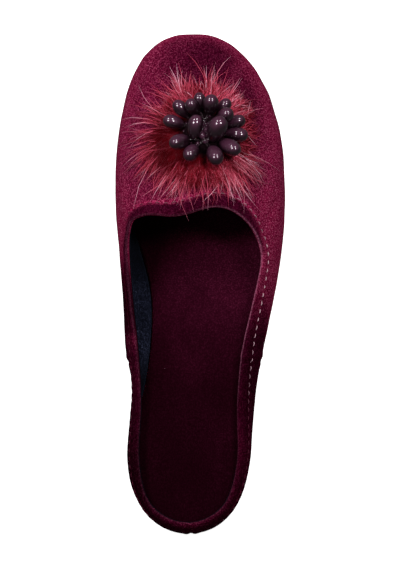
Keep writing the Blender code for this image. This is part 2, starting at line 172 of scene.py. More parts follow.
# The insole's padding: size of its mesh, crown, and hollows under heel and ball with a rise at the arch, each
# with middle, half width and half length seen from above, and height, all in millimetres.
INSOLE_VOXEL, INSOLE_CROWN = 1.15 * MM, 0.35
INSOLE_HOLLOWS = ((-3.5, -88, 17, 23, -0.9), (0, 46, 25, 26, -0.7), (-10, -14, 14, 30, 0.4))

# How the pile lies, and painted light and shade: patches with middle, half width and half length in
# millimetres seen from above, and how much lighter they are, most of them painted light and shade. The upper
# has painted shade on its quarters, where the light falls off towards the heel, and a painted sheen where it
# turns down steeply in front.
QUARTER_SHADE, QUARTER_SHADE_AT = -0.28, (-32 * MM, 12 * MM)
EDGE_SHEEN, EDGE_SHEEN_FROM = 0.95, 0.75
NAP_AND_SHADE_PATCHES = (
    (1, 108, 24, 20, -0.34),
    (-41, 98, 7, 30, 0.25),
    (29, 90, 8, 18, -0.2),
    (37, 74, 6, 18, -0.2),
    (32, 30, 6, 14, -0.2),
    (41, 38, 10, 38, 0.42),
    (-42, 46, 10, 34, 0.08),
    (37, -24, 7, 14, -0.15),
    (-37, -10, 9, 20, -0.95),
    (-35, -29, 7, 6, 0.4),
    (-31, -100, 9, 30, -0.75),
    (18, -100, 9, 30, -0.08),
    (26, -55, 7, 26, -0.4),
)
# Patches of painted light and shade on the insole, in the same columns.
INSOLE_LIGHT_AND_SHADE = (
    (24, 25, 16, 16, 0.65),
    (-28, 20, 9, 14, -0.35),
    (-18, -8, 14, 10, -0.15),
    (-24, -52, 9, 26, -0.4),
    (10, -56, 11, 20, -0.2),
    (6, 2, 16, 6, 0.14),
    (28, 2, 7, 12, 0.35),
)
# Painted shade on the insole and the wedge, darker towards the heel where the light falls off, on the insole
# also under the throat; and the insole's pale edge, partly wear and partly a painted highlight where it
# rounds over.
INSOLE_SHADE_AT, INSOLE_SHADE = (-113 * MM, -31 * MM, -9 * MM, 12 * MM), (-0.36, -0.21, -0.01, -0.1)
WEDGE_SHADE_AT, WEDGE_SHADE = (-110 * MM, -30 * MM, 40 * MM), (-0.46, -0.4, -0.1)
WORN_LIT_EDGE, WORN_LIT_EDGE_SLOPE, WORN_LIT_EDGE_WIDTH, WORN_LIT_EDGE_AT = 0.5, 0.6, 0.15, (-105 * MM, -80 * MM)
# Painted shade on the hem at the throat, where its step shades it, and a painted highlight on the ridge
# outside its stitches.
THROAT_SHADE_AT, HEM_SHADE, RIDGE_HIGHLIGHT = (8 * MM, 20 * MM), 0.36, 0.28
# A painted sheen along the rim's crest, most along the outer side, and higher up where it turns into the
# throat.
SHEEN_EVERYWHERE, SHEEN_OUTER, SHEEN_THROAT = 0.06, 0.45, 0.25
SHEEN_X, SHEEN_Y = (-20 * MM, 20 * MM), (-75 * MM, -20 * MM)
SHEEN_THROAT_AT, SHEEN_RISES_AT, SHEEN_RISE = (10 * MM, 30 * MM), (5 * MM, 30 * MM), 0.9
# The lining is painted lit between heel and throat and painted in shade towards the throat, the heel and the
# rim, and the hem's thread pale along the outer side.
LINING_LIT_FROM, LINING_LIT_TO = (-55 * MM, -30 * MM), (-10 * MM, 10 * MM)
PALE_THREAD_X = (-30 * MM, 26 * MM)
PALE_THREAD_FROM, PALE_THREAD_TO = (-70 * MM, -15 * MM), (17 * MM, 23 * MM)

# Fur: each tuft's direction round the bead cluster from the outer side towards the toe, half spread, both in
# degrees, reach in millimetres, share of the hairs, how pale it is, and degrees that it sweeps round by.
TUFTS = (
    (-172, 9, 44, 0.07, 0.35, 10),
    (-158, 12, 36, 0.05, 0, 4),
    (-146, 9, 46, 0.085, 0.05, 20),
    (-129, 7, 45, 0.07, 0.22, 4),
    (-112, 8, 41, 0.07, 0.12, 0),
    (-92, 8, 36, 0.07, 0.1, 0),
    (-72, 8, 38, 0.07, 0.25, 0),
    (-53, 8, 44, 0.085, 0.75, -2),
    (-38, 7, 43, 0.065, 0.85, -4),
    (-17, 7, 31, 0.018, 0.5, 0),
    (7, 8, 28, 0.018, 0.4, 0),
    (31, 7, 31, 0.046, 0.85, 0),
    (55, 8, 33, 0.06, 1, 0),
    (79, 7, 38, 0.065, 1, 0),
    (99, 6, 24, 0.024, 0.6, 0),
    (113, 6, 37, 0.065, 0.75, 0),
    (125, 7, 38, 0.07, 0.65, 0),
    (141, 8, 37, 0.06, 0.3, 0),
    (161, 9, 41, 0.055, 0.25, 0),
)
FUR_MIDDLE = Vector((4.6, 72.8)) * MM
# The boss's radius, and where the painted shade on the boss among the beads fades out.
BOSS_RADIUS, BOSS_SHADE_AT = 12 * MM, (10 * MM, 13 * MM)
BACKING_DRAWN_AT, BACKING_DRAWN = (0, 11 * MM, 34 * MM), (1, 1, 0.75)
# Layers of the fur: seed, number of hairs, their radius in millimetres, reach against the tufts' own,
# how much paler they are, and the share of strays.
FUR_LAYERS = {
    "fur_under": (11, 7200, 0.09, 0.62, -0.55, 0.04),
    "fur_over": (23, 1250, 0.155, 0.84, 0.06, 0.1),
    "fur_tips": (37, 950, 0.145, 1.01, 0.52, 0.3),
}
# Locks within a tuft, the hairs of a lock, and strays.
LOCKS_PER_TUFT, LOCK_SPREAD, LOCK_REACH, LOCK_PALE, LOCK_ODDS = 7, 1.1, (0.7, 1.02), 0.15, (0.5, 1.5)
ROOT_SPREAD, TIP_SPREAD, STRAY_SPREAD = 6, 4.2, 10
TIP_REACH, STRAY_REACH, REACH_VARIES = 0.92, 1, 0.075
HAIR_PALE, STRAY_PALER, TONE_OF_LOCK = 0.12, 0.25, 0.4
ROOT_FROM, ROOT_TO, SHORTEST_HAIR = 9 * MM, 22 * MM, 6 * MM
# Course of a hair from root to tip, heights in millimetres over the vamp.
HAIR_POINTS, HAIR_SIDES, HAIR_TAPER, HAIR_WIDTHS = 5, 3, (1, 1, 0.85, 0.6, 0.18), (0.7, 1.35)
HAIR_BEND, HAIR_SWAY, HAIR_CLEAR = 0.8, 0.03, 0.35 * MM
ROOT_HEIGHT, TIP_HEIGHT, STRAY_HEIGHT, TIP_LIFT = 1 * MM, (0.4, 2.6), (1.5, 6.5), 1.5
HUMP, HUMP_VARIES, HUMP_AT, HUMP_SHARE = 1, 3, (10 * MM, 26 * MM), (0.5, 1)
# Shade over the roots, and in partings of the fur: direction, half width in degrees, and depth.
SHADE_FROM, SHADE_TO, PARTING_FADES = 13 * MM, 40 * MM, (22 * MM, 40 * MM)
PARTINGS = ((-154, 22, 0.85), (-95, 18, 0.24), (100, 8, 0.12), (172, 18, 0.6))
# The vamp's height under the fur: a fit to what lies near, from the faces that look up.
FIT_NEAR, FIT_UPWARD, FIT_SPAN, FIT_TERMS = 52 * MM, 0.35, 40 * MM, 5
DEEPEST_LIFT, ABOVE_ALL = 6 * MM, 0.2

# Sole: a recess in its underside, and wavy ribs across the recess.
SOLE_EDGE, SOLE_RECESS_SLOPE, SOLE_BEVEL, SOLE_DOWNWARD = 3.5 * MM, 0.5 * MM, 0.35 * MM, -0.75
TREAD_FROM, TREAD_TO, TREAD_PITCH = -114 * MM, 116 * MM, 6.2 * MM
TREAD_WIDTH, TREAD_DEPTH, TREAD_MARGIN = 2.8 * MM, 0.9 * MM, 1.2 * MM
TREAD_WAVE, TREAD_WAVE_LENGTH, TREAD_STEPS = 1.1 * MM, 14 * MM, 41
TREAD_ABOVE_FLOOR, TREAD_ROOTED, TREAD_TAPER = 0.02 * MM, 0.2 * MM, 0.75
TREAD_SEARCH, BELOW_ALL = np.arange(-46, 46, 0.5) * MM, -0.01

# Beads, the clear threads to their necks, and the knots between them, in millimetres where no unit is given.
BEAD_NODES = [f"bead_{number:02d}" for number in range(1, 16)]
BEAD_WIDER, BEAD_LONGER, LYING_LONGER = 1.34, 1.12, 1.1
BIG_BEADS, BIG_WIDER = ("bead_03", "bead_06"), 1.16
LYING_BEADS = ("bead_14", "bead_15")
NECK_AT, THREADS_PER_BEAD, THREAD_STEPS, THREAD_SIDES = 0.8, 2, 7, 4
THREAD_RADIUS, THREAD_FOOT_LIFT, THREAD_ASIDE = 0.1 * MM, 0.2 * MM, (0.31, 0.17, 0.94)
THREAD_NECK_SPREAD, THREAD_FOOT_SPREAD, THREAD_ARCH, THREAD_ARCH_VARIES = 0.9, 4.5, 2.2, 1.6
KNOT_COUNT, KNOT_SIDES, KNOT_RINGS, KNOT_POLE = 48, 8, 5, 0.12
# KNOT_LIT is the painted light on the knots, near that of the beads' upper sides.
KNOT_REACH, KNOT_VARIES, KNOT_STANDS, KNOT_LIT = (1, 10.5), (0.7, 1), 0.6, 0.9
KNOT_SIZE_AT, KNOT_SIZE = (2 * MM, 8 * MM), (1.9, 0.8)

# Colours as linear values.
# The velvets' deep and lit colours are shaded and lit copies of one colour, with painted light and shade
# between them; the glint colours are painted glints and the rim's colour a painted sheen.
VELVET_DEEP, VELVET_LIT = (0.022, 0.0003, 0.0055), (0.192, 0.0055, 0.0385)
VELVET_GLINT, RIM_SHEEN_COLOUR = (0.44, 0.1, 0.185), (0.36, 0.11, 0.19)
INSOLE_DEEP, INSOLE_LIT = (0.01, 0.0006, 0.0028), (0.049, 0.0034, 0.0145)
INSOLE_GLINT = (0.14, 0.018, 0.05)
VELVET_SHEEN, LINT = (0.9, 0.05, 0.2, 1), (0.42, 0.25, 0.3)
FLEECE_DEEP, FLEECE_LIT = (0.0022, 0.0026, 0.0066), (0.021, 0.024, 0.048)
# FLEECE_SHADE is the lining's painted shade.
FLEECE_SHADE, FLEECE_PALE = (0.0012, 0.0013, 0.0026), (0.09, 0.1, 0.155)
FLEECE_SHEEN = (0.25, 0.32, 0.6, 1)
FUR_ROOT, FUR_RED = (0.085, 0.0012, 0.0038), (0.24, 0.006, 0.016)
FUR_GLEAM, FUR_GLOSS = (1, 0.38, 0.5, 1), {"fur_under": 0.06, "fur_over": 0.2, "fur_tips": 0.4}
FUR_PINK, FUR_PALE = (0.6, 0.064, 0.12), (0.88, 0.46, 0.59)
FUR_GROUND_DEEP, FUR_GROUND_LIT = (0.03, 0.0008, 0.003), (0.13, 0.0036, 0.011)
# Painted shade on the boss among the beads.
BOSS_SHADE = (0.006, 0.0016, 0.003)
# The beads' deep and lit colours are shaded and lit copies of one colour; the light between them is painted,
# from the direction BEAD_LIT_FROM.
BEAD_DEEP, BEAD_LIT = (0.0065, 0.0018, 0.0036), (0.04, 0.0115, 0.0245)
BEAD_GLEAM, BEAD_LIT_FROM = (0.9, 0.4, 0.7, 1), Vector((-0.15, 0.66, 0.76))
NYLON_DIM, NYLON_CLEAR = (0.012, 0.005, 0.008), (0.075, 0.05, 0.06)
THREAD_PALE, THREAD_DARK = (0.95, 0.6, 0.7), (0.09, 0.008, 0.026)
RUBBER_DEEP, RUBBER_LIT = (0.0075, 0.0065, 0.007), (0.02, 0.0175, 0.0185)
FLOOR_WHITE, FLOOR_PALE = (0.92, 0.92, 0.92), (0.88, 0.88, 0.88)
WHITE = (1, 1, 1, 1)

# Floor, the panes of a studio lamp, and the room round them.
FLOOR_SIZE, FLOOR_DROP, FLOOR_GLOW = 6, 0.3 * MM, 0.93
PANES_MIDDLE, PANES_APART = Vector((-0.01, 0.24, 0.38)), Vector((0.15, 0.11))
PANES_AIM = Vector((0, 30, 40)) * MM
PANE_SIZE, PANE_POWER, ROOM_LIGHT = 0.08, 0.72, 0.12

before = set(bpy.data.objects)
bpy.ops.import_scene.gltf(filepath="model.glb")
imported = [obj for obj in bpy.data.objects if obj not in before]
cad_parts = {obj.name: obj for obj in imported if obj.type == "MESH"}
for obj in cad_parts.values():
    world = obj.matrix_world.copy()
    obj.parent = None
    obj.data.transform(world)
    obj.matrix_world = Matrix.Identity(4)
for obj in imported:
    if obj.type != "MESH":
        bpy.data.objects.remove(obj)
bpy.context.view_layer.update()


# Modelling tools.


def only(piece):
    """Makes one piece the only selected and active one."""
    bpy.ops.object.select_all(action="DESELECT")
    piece.select_set(True)
    bpy.context.view_layer.objects.active = piece


def edit(piece, mode="FACE"):
    """Opens a piece in edit mode."""
    only(piece)
    bpy.ops.object.mode_set(mode="EDIT")
    bpy.ops.mesh.select_mode(type=mode)


def close_edit():
    bpy.ops.object.mode_set(mode="OBJECT")


def new_piece(name, mesh):
    piece = bpy.data.objects.new(name, mesh)
    bpy.context.scene.collection.objects.link(piece)
    return piece


def pick_faces(piece, wanted):
    """Selects faces by a list of yes or no."""
    for group in (piece.data.vertices, piece.data.edges):
        group.foreach_set("select", np.zeros(len(group), bool))
    piece.data.polygons.foreach_set("select", np.asarray(wanted, bool))


def copy_of(node, name):
    """A new piece with a CAD node's shape, its triangles merged and paired into quads."""
    piece = new_piece(name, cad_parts[node].data.copy())
    piece.data.materials.clear()
    only(piece)
    bpy.ops.mesh.customdata_custom_splitnormals_clear()
    edit(piece)
    bpy.ops.mesh.select_all(action="SELECT")
    bpy.ops.mesh.remove_doubles(threshold=1e-6)
    bpy.ops.mesh.tris_convert_to_quads(face_threshold=math.pi, shape_threshold=math.pi)
    close_edit()
    bpy.ops.object.shade_smooth()
    return piece


def finish_with(piece, kind, **settings):
    """Adds a modifier to a piece and applies it."""
    only(piece)
    modifier = piece.modifiers.new(kind.title(), kind)
    for key, value in settings.items():
        setattr(modifier, key, value)
    bpy.ops.object.modifier_apply(modifier=modifier.name)


def subdivided(piece, levels):
    finish_with(piece, "SUBSURF", levels=levels, render_levels=levels)


def places(piece):
    values = np.empty(len(piece.data.vertices) * 3)
    piece.data.vertices.foreach_get("co", values)
    return values.reshape(-1, 3)


def normals(piece):
    values = np.empty(len(piece.data.vertices) * 3, np.float32)
    piece.data.vertex_normals.foreach_get("vector", values)
    return values.reshape(-1, 3).astype(float)


def move_to(piece, points):
    piece.data.vertices.foreach_set("co", np.asarray(points, np.float32).ravel())
    piece.data.update()


def carry(piece, name, values):
    """Gives each vertex a number for the material."""
    values = np.asarray(values, np.float32)
    piece.data.attributes.new(name, "FLOAT", "POINT").data.foreach_set("value", values)


def tree_of(piece):
    corners = [vertex.co for vertex in piece.data.vertices]
    return BVHTree.FromPolygons(corners, [face.vertices for face in piece.data.polygons])


def under(tree, x, y):
    """The place under a point seen from above."""
    return tree.ray_cast(Vector((x, y, ABOVE_ALL)), Vector((0, 0, -1)))[0]


def unit(vectors):
    return vectors / np.linalg.norm(vectors, axis=-1, keepdims=True)


def bell(distance, width):
    return np.exp(-((distance / width) ** 2))


def roughly(points, scale, seed):
    """Slow noise from -1 to 1 at each point."""
    away = Vector((seed, 2.7 * seed, -1.3 * seed))
    return np.array([noise.noise(Vector(p) / scale + away) for p in points])


def waves(points, table):
    """Height of a surface's unevenness at each point."""
    rows = ((points * np.array([1, 1, shorter]), *row) for *row, shorter in table)
    return sum(height * MM * roughly(scaled, size * MM, seed) for scaled, size, height, seed in rows)


def patches(points, table):
    """Sum of soft patches seen from above, at each point."""
    total = np.zeros(len(points))
    for middle_x, middle_y, half_x, half_y, amount in table:
        away_x = (points[:, 0] / MM - middle_x) / half_x
        away_y = (points[:, 1] / MM - middle_y) / half_y
        total += amount * np.exp(-(away_x**2) - away_y**2)
    return total


def tube_piece(name, points):
    """A piece of many closed tubes, from an array of tube, step, side, xyz."""
    tube_count, steps, sides = points.shape[:3]
    step, side = np.meshgrid(np.arange(steps - 1), np.arange(sides), indexing="ij")
    low, high = step * sides, (step + 1) * sides
    after = (side + 1) % sides
    quads = np.stack([low + side, low + after, high + after, high + side], axis=-1).reshape(-1, 4)
    first = np.arange(tube_count)[:, None, None] * steps * sides
    faces = (quads[None] + first).reshape(-1, 4).tolist()
    foot = np.arange(sides)[::-1]
    head = np.arange(sides) + (steps - 1) * sides
    for cap in (foot, head):
        faces += (cap[None] + first[:, 0]).tolist()
    mesh = bpy.data.meshes.new(name)
    mesh.from_pydata(points.reshape(-1, 3), [], faces)
    return new_piece(name, mesh)


def round_tubes(name, middle, across, up, radius, sides):
    """A piece of round tubes along lines, given as arrays of tube, step, xyz."""
    angles = (np.arange(sides) / sides * math.tau)[:, None]
    rings = across[..., None, :] * np.cos(angles) + up[..., None, :] * np.sin(angles)
    return tube_piece(name, middle[..., None, :] + rings * radius[..., None, None])


def across_lines(middle, aside):
    """Two directions across each line at its steps, from a direction that no line follows."""
    forward = unit(np.gradient(middle, axis=1))
    across = unit(np.cross(forward, np.array(aside)))
    return across, np.cross(across, forward)


def settle(piece, finish, node=None):
    """Gives a piece its material, smooth shading and body, and hides the CAD node that it stands for."""
    piece.data.materials.clear()
    piece.data.materials.append(finish)
    only(piece)
    bpy.ops.object.shade_smooth()
    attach(piece, "root")
    if node:
        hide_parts(node)


# Materials: sockets that take arithmetic, and a finish that adds nodes.


def maths(operation, swapped=False):
    """A method of a socket that adds one Math node."""

    def method(wire, other):
        values = (other, wire) if swapped else (wire, other)
        return wire.finish.node("ShaderNodeMath", {"operation": operation}, dict(enumerate(values)))

    return method


class Wire:
    """An output socket of a finish; arithmetic on it adds Math nodes."""

    __add__ = __radd__ = maths("ADD")
    __mul__ = __rmul__ = maths("MULTIPLY")
    __sub__ = maths("SUBTRACT")
    __rsub__ = maths("SUBTRACT", swapped=True)
    __lt__ = maths("LESS_THAN")

    def __init__(self, finish, socket):
        self.finish = finish
        self.socket = socket

    def between(self, low, high):
        """0 below low, 1 above high and a soft step between them."""
        sockets = {"Value": self, "From Min": low, "From Max": high}
        return self.finish.node("ShaderNodeMapRange", {"interpolation_type": "SMOOTHSTEP"}, sockets)


class Finish:
    """A material with one Principled shader, whose constant values are given by socket name."""

    def __init__(self, name, **constants):
        self.material = bpy.data.materials.new(name)
        self.material.use_nodes = True
        self.nodes = self.material.node_tree.nodes
        self.links = self.material.node_tree.links
        self.shader = self.nodes["Principled BSDF"]
        for socket, value in constants.items():
            self.shader.inputs[socket.replace("_", " ")].default_value = value
        self.place = self.node("ShaderNodeTexCoord", output="Object")

    def node(self, kind, settings=None, sockets=None, output=0):
        """A node with its settings and the values or links of its sockets; gives one output."""
        made = self.nodes.new(kind)
        for key, value in (settings or {}).items():
            setattr(made, key, value)
        for key, value in (sockets or {}).items():
            self.plug(value, made.inputs[key])
        return Wire(self, made.outputs[output])

    def plug(self, value, socket):
        if isinstance(value, Wire):
            self.links.new(value.socket, socket)
        else:
            socket.default_value = value

    def turned(self, scale, turn=(0, 0, 0)):
        """Stretched and turned coordinates."""
        values = {"Vector": self.place, "Rotation": turn, "Scale": scale}
        return self.node("ShaderNodeMapping", sockets=values)

    def noise(self, scale, detail=2.0, roughness=0.5, place=None, distortion=0.0):
        values = {"Vector": place or self.place, "Scale": scale, "Detail": detail}
        values |= {"Roughness": roughness, "Distortion": distortion}
        return self.node("ShaderNodeTexNoise", sockets=values)

    def mix(self, share, first, second, blend="MIX"):
        """A colour between two colours."""
        first, second = ((*c, 1) if isinstance(c, tuple) and len(c) == 3 else c for c in (first, second))
        settings = {"data_type": "RGBA", "blend_type": blend}
        return self.node("ShaderNodeMix", settings, {0: share, 6: first, 7: second}, output=2)

    def own(self, name):
        """A number that the mesh carries under a name."""
        return self.node("ShaderNodeAttribute", {"attribute_name": name}, output="Fac")

    def first_two(self, vector):
        """The first two numbers of a vector."""
        split = self.node("ShaderNodeSeparateXYZ", sockets={0: vector}).socket.node
        return Wire(self, split.outputs[0]), Wire(self, split.outputs[1])

    def ring(self):
        """Ring number on the upper, from its own map."""
        return self.first_two(self.node("ShaderNodeUVMap", {"uv_map": "wall"}))[1] * RINGS

    def paint(self, colour, roughness, height=None, depth=1 * MM, strength=1.0, coat=None):
        """Joins varying values to the shader."""
        self.plug(colour, self.shader.inputs["Base Color"])
        self.plug(roughness, self.shader.inputs["Roughness"])
        if height is not None:
            values = {"Strength": strength, "Distance": depth, "Height": height}
            self.plug(self.node("ShaderNodeBump", sockets=values), self.shader.inputs["Normal"])
        if coat is not None:
            self.plug(coat, self.shader.inputs["Coat Weight"])
        return self.material


def lint_mask(finish, cell, size, keep):
    """Small specks scattered over a surface, one in some of the cells."""
    values = {"Vector": finish.place, "Scale": 1 / cell}
    cells = finish.node("ShaderNodeTexVoronoi", sockets=values).socket.node
    distance = Wire(finish, cells.outputs["Distance"])
    split = finish.node("ShaderNodeSeparateColor", sockets={0: Wire(finish, cells.outputs["Color"])})
    return (distance < size / cell) * (split < keep)


def hem_shade_and_highlight(finish):
    """Painted highlight on the ridge and painted shade on the hem at the throat."""
    ring = finish.ring()
    throat = finish.first_two(finish.place)[1].between(*THROAT_SHADE_AT)
    ridge = ring.between(STITCH_RING - 0.7, STITCH_RING - 0.2)
    ridge = ridge - ring.between(STITCH_RING - 0.1, STITCH_RING + 0.2)
    hem = ring.between(STITCH_RING, HEM_RING) - ring.between(RIM_RING + 1.4, RIM_RING + 2.4)
    return throat * (ridge * RIDGE_HIGHLIGHT - hem * HEM_SHADE)


def rim_sheen(finish):
    """How much painted sheen lies along the rim's crest."""
    x, y = finish.first_two(finish.place)
    ring = finish.ring() + y.between(*SHEEN_RISES_AT) * SHEEN_RISE
    sheen_band = ring.between(SHEEN_RING - SHEEN_SPAN, SHEEN_RING)
    sheen_band = sheen_band * (1 - ring.between(SHEEN_RING, SHEEN_RING + SHEEN_SPAN))
    outer = x.between(*SHEEN_X) * y.between(*SHEEN_Y)
    outer = outer * (SHEEN_OUTER - y.between(*SHEEN_THROAT_AT) * SHEEN_THROAT)
    return sheen_band * (SHEEN_EVERYWHERE + outer)


def velvet(name, deep, lit, glint, flecks=0.50, sparks=0.75, lint=0.12, edge=False):
    """Velvet: short pile with flecks, brushed patches and a little lint, painted light, shade and glints, and
    if asked the hem's painted shade and highlight and the rim's painted sheen.
    """
    gloss = {"Sheen_Weight": 0.20, "Sheen_Roughness": 0.22, "Sheen_Tint": VELVET_SHEEN}
    finish = Finish(name, Specular_IOR_Level=0.0, **gloss)
    grain = finish.noise(1500, 1.0, 0.6)
    pile = finish.noise(900, 2.0, 0.6, finish.turned((1, 0.6, 1)))
    brushed = finish.noise(58, 4.0, 0.6, finish.turned((1, 0.5, 1)), 0.6)
    cloud = finish.noise(17)
    # The carried attribute holds painted light and shade as well as the pile's lie.
    lie_and_light = finish.own("nap_and_painted_light") + (brushed - 0.5) * 0.45 + (cloud - 0.5) * 0.5 + 0.45
    if edge:
        lie_and_light = lie_and_light + hem_shade_and_highlight(finish)
    lit_share = lie_and_light.between(0, 1)
    shaded = tuple(0.45 * c for c in deep)
    # Mixes shaded, deep and lit copies of the colour by the painted light and shade.
    colour = finish.mix(lit_share, finish.mix(lie_and_light.between(-0.6, 0.1), shaded, deep), lit)
    fleck = (grain * 0.75 + pile * 0.25).between(0.38, 0.62)
    dim = (1 - flecks, 1 - 1.2 * flecks, 1 - 1.1 * flecks)
    bright = (1 + flecks, 1 + 1.4 * flecks, 1 + 1.2 * flecks)
    colour = finish.mix(1, colour, finish.mix(fleck, dim, bright), "MULTIPLY")
    # Painted glints: pale specks of pile catching the light, most where it is painted lit.
    colour = finish.mix(grain.between(0.50, 0.74) * (0.06 + lit_share * 0.94) * sparks, colour, glint)
    if edge:
        # Painted sheen along the rim's crest, flecked by the grain.
        colour = finish.mix(rim_sheen(finish) * (0.4 + grain.between(0.35, 0.65)), colour, RIM_SHEEN_COLOUR)
    colour = finish.mix(lint_mask(finish, 9 * MM, 0.22 * MM, lint) * 0.8, colour, LINT)
    height = grain * 0.55 + pile * 0.8 + brushed * 0.5
    return finish.paint(colour, 0.82 + (pile - 0.5) * 0.2, height, 0.30 * MM, 0.4)


def fleece():
    """Dark blue fleece with curly fibres, painted in shade deep in the throat, at the heel and under the rim.
    """
    finish = Finish("lining_fleece", Sheen_Weight=0.06, Sheen_Tint=FLEECE_SHEEN, Specular_IOR_Level=0.05)
    curls = finish.noise(680, 3.0, 0.65, finish.turned((1, 0.6, 1)), 2.2)
    fuzz = finish.noise(1700)
    uneven = finish.noise(90)
    y = finish.first_two(finish.place)[1] + (uneven - 0.5) * (20 * MM)
    lit_band = (1 - y.between(*LINING_LIT_TO)) * y.between(*LINING_LIT_FROM)
    lit_band = lit_band * finish.ring().between(LINING_FROM_RING + 0.5, LINING_FROM_RING + 3)
    tone = (curls - 0.5) * 3.6 + (fuzz - 0.5) * 1.6 + (uneven - 0.5) * 0.8 + 0.30
    fibres = finish.mix(tone.between(0, 1), FLEECE_DEEP, FLEECE_LIT)
    fibres = finish.mix(tone.between(0.85, 1.4), fibres, FLEECE_PALE)
    # Painted shade outside the lit band.
    colour = finish.mix(0.06 + lit_band * 0.94, FLEECE_SHADE, fibres)
    return finish.paint(colour, 0.9, curls + fuzz * 0.4, 0.7 * MM, 0.7)


def fur_finish(name):
    """Faux fur: each hair goes from a deep red root to a paler tip, darkened by painted shade over the roots
    and in the partings.
    """
    finish = Finish(name, Specular_IOR_Level=FUR_GLOSS[name], Specular_Tint=FUR_GLEAM)
    along, tone, pale = finish.own("along"), finish.own("tone"), finish.own("pale")
    red = finish.mix((along * 0.9 + tone * 0.6).between(0.10, 1.0), FUR_ROOT, FUR_RED)
    paleness = along * 0.58 + pale * 0.75 + (tone - 0.5) * 1.2
    colour = finish.mix(paleness.between(0.42, 1.18), red, FUR_PINK)
    colour = finish.mix(paleness.between(1.10, 1.60), colour, FUR_PALE)
    return finish.paint(colour, 0.38 - tone * 0.12)


def fur_ground():
    """The fur's backing under the hairs, with painted shade on the boss among the beads."""
    finish = Finish("fur_backing", Specular_IOR_Level=0.05)
    fibres = finish.noise(900, 3.0, 0.7)
    colour = finish.mix(fibres.between(0.3, 0.75), FUR_GROUND_DEEP, FUR_GROUND_LIT)
    colour = finish.mix(finish.own("boss"), colour, BOSS_SHADE)
    return finish.paint(colour, 0.85, fibres, 0.9 * MM, 0.9)


def bead_finish():
    """Polished plum beads with faint smears under the polish, painted lighter where they face up and towards
    the toe.
    """
    finish = Finish("bead_polish", Coat_Roughness=0.03, Specular_IOR_Level=0.25, Specular_Tint=BEAD_GLEAM)
    smear = finish.noise(420, 3.0, 0.6, distortion=0.8)
    swirl = finish.noise(160)
    colour = finish.mix((finish.own("lit") + (swirl - 0.5) * 0.8).between(0.2, 1.0), BEAD_DEEP, BEAD_LIT)
    return finish.paint(colour, 0.30 + smear * 0.14, smear, 0.05 * MM, 0.2, 0.85 + smear * 0.15)


def nylon():
    """Clear thread, dark with what lies behind it."""
    finish = Finish("bead_nylon", Coat_Roughness=0.05, IOR=1.53)
    twist = finish.noise(1800)
    colour = finish.mix(twist.between(0.35, 0.65), NYLON_DIM, NYLON_CLEAR)
    return finish.paint(colour, 0.15 + twist * 0.15, twist, 0.05 * MM, 0.3, 0.5 + twist * 0.4)


def thread_finish():
    """Hem thread, pale along the outer side and dull elsewhere."""
    finish = Finish("hem_thread", Specular_IOR_Level=0.2)
    ply = finish.noise(2600, 2.0, 0.6, finish.turned((1, 1, 1), (0.6, 0.4, 0.7)))
    x, y = finish.first_two(finish.place)
    # Noise that moves the edge of the thread's pale part.
    pale_edge = finish.noise(140)
    front = (y + (pale_edge - 0.5) * (30 * MM)).between(*PALE_THREAD_FROM)
    share = front * x.between(*PALE_THREAD_X) * (0.55 + ply * 0.6) * (1 - y.between(*PALE_THREAD_TO) * 0.75)
    return finish.paint(finish.mix(share, THREAD_DARK, THREAD_PALE), 0.55, ply, 0.15 * MM, 0.6)


def rubber():
    """Matt black rubber, scuffed a little where it treads."""
    finish = Finish("sole_rubber", Specular_IOR_Level=0.35)
    pebble = finish.noise(900)
    scuff = finish.noise(70, 4.0, 0.65)
    colour = finish.mix((scuff - 0.5 + pebble * 0.4).between(0.1, 0.6), RUBBER_DEEP, RUBBER_LIT)
    return finish.paint(colour, 0.62 + scuff * 0.25, pebble + scuff * 0.5, 0.2 * MM, 0.5)


# Upper.


def smooth(keys, values, at):
    """A smooth curve through values at keys."""
    slopes = np.gradient(values, keys)
    i = np.clip(np.searchsorted(keys, at) - 1, 0, len(keys) - 2)
    span = keys[i + 1] - keys[i]
    s = (at - keys[i]) / span
    start = (2 * s**3 - 3 * s**2 + 1) * values[i] + (s**3 - 2 * s**2 + s) * span * slopes[i]
    end = (3 * s**2 - 2 * s**3) * values[i + 1] + (s**3 - s**2) * span * slopes[i + 1]
    return start + end


def round_the_shoe(table, turn):
    """Columns of a table that joins up round the shoe, at each turn in degrees."""
    keys, *columns = np.array(table, float).T
    keys = np.concatenate([keys[-3:] - 360, keys, keys[:3] + 360])
    return [smooth(keys, np.concatenate([c[-3:], c, c[:3]]), turn) for c in columns]


def share_along(y):
    return y / SOLE_LENGTH + 0.5


def ground_height(y):
    """Underside of the outsole: flat from the heel to the ball, then rising to the toe."""
    rise = np.clip((share_along(y) - SPRING_FROM) / (1 - SPRING_FROM), 0, None)
    return TOE_SPRING * rise**2


def seat_height(y):
    """Top of the wedge, on which the upper and the insole stand."""
    s = np.clip((share_along(y) - SLOPE_FROM) / (SLOPE_TO - SLOPE_FROM), 0, 1)
    heel = 1 - s * s * (3 - 2 * s)
    return ground_height(y) + OUTSOLE_THICK + FOREFOOT_THICK + HEEL_LIFT * heel


def sole_outline(turn):
    """Points of the wedge's top edge seen from above, one for each turn."""
    side = np.where(turn <= 180, -1, 1)
    from_heel = SOLE_LENGTH * (1 - np.cos(np.radians(turn))) / 2
    keys, *columns = np.array(SOLE_TABLE).T * MM
    middle, half = (smooth(keys, column, from_heel) for column in columns)
    heel = np.clip(1 - from_heel / HEEL_ROUND, 0, 1)
    toe = np.clip(1 - (SOLE_LENGTH - from_heel) / TOE_ROUND, 0, 1)
    half = half * (1 - heel**2) ** (1 / HEEL_FULLNESS) * (1 - toe**2) ** (1 / TOE_FULLNESS)
    return np.stack([middle + side * half, from_heel - SOLE_LENGTH / 2], axis=1)


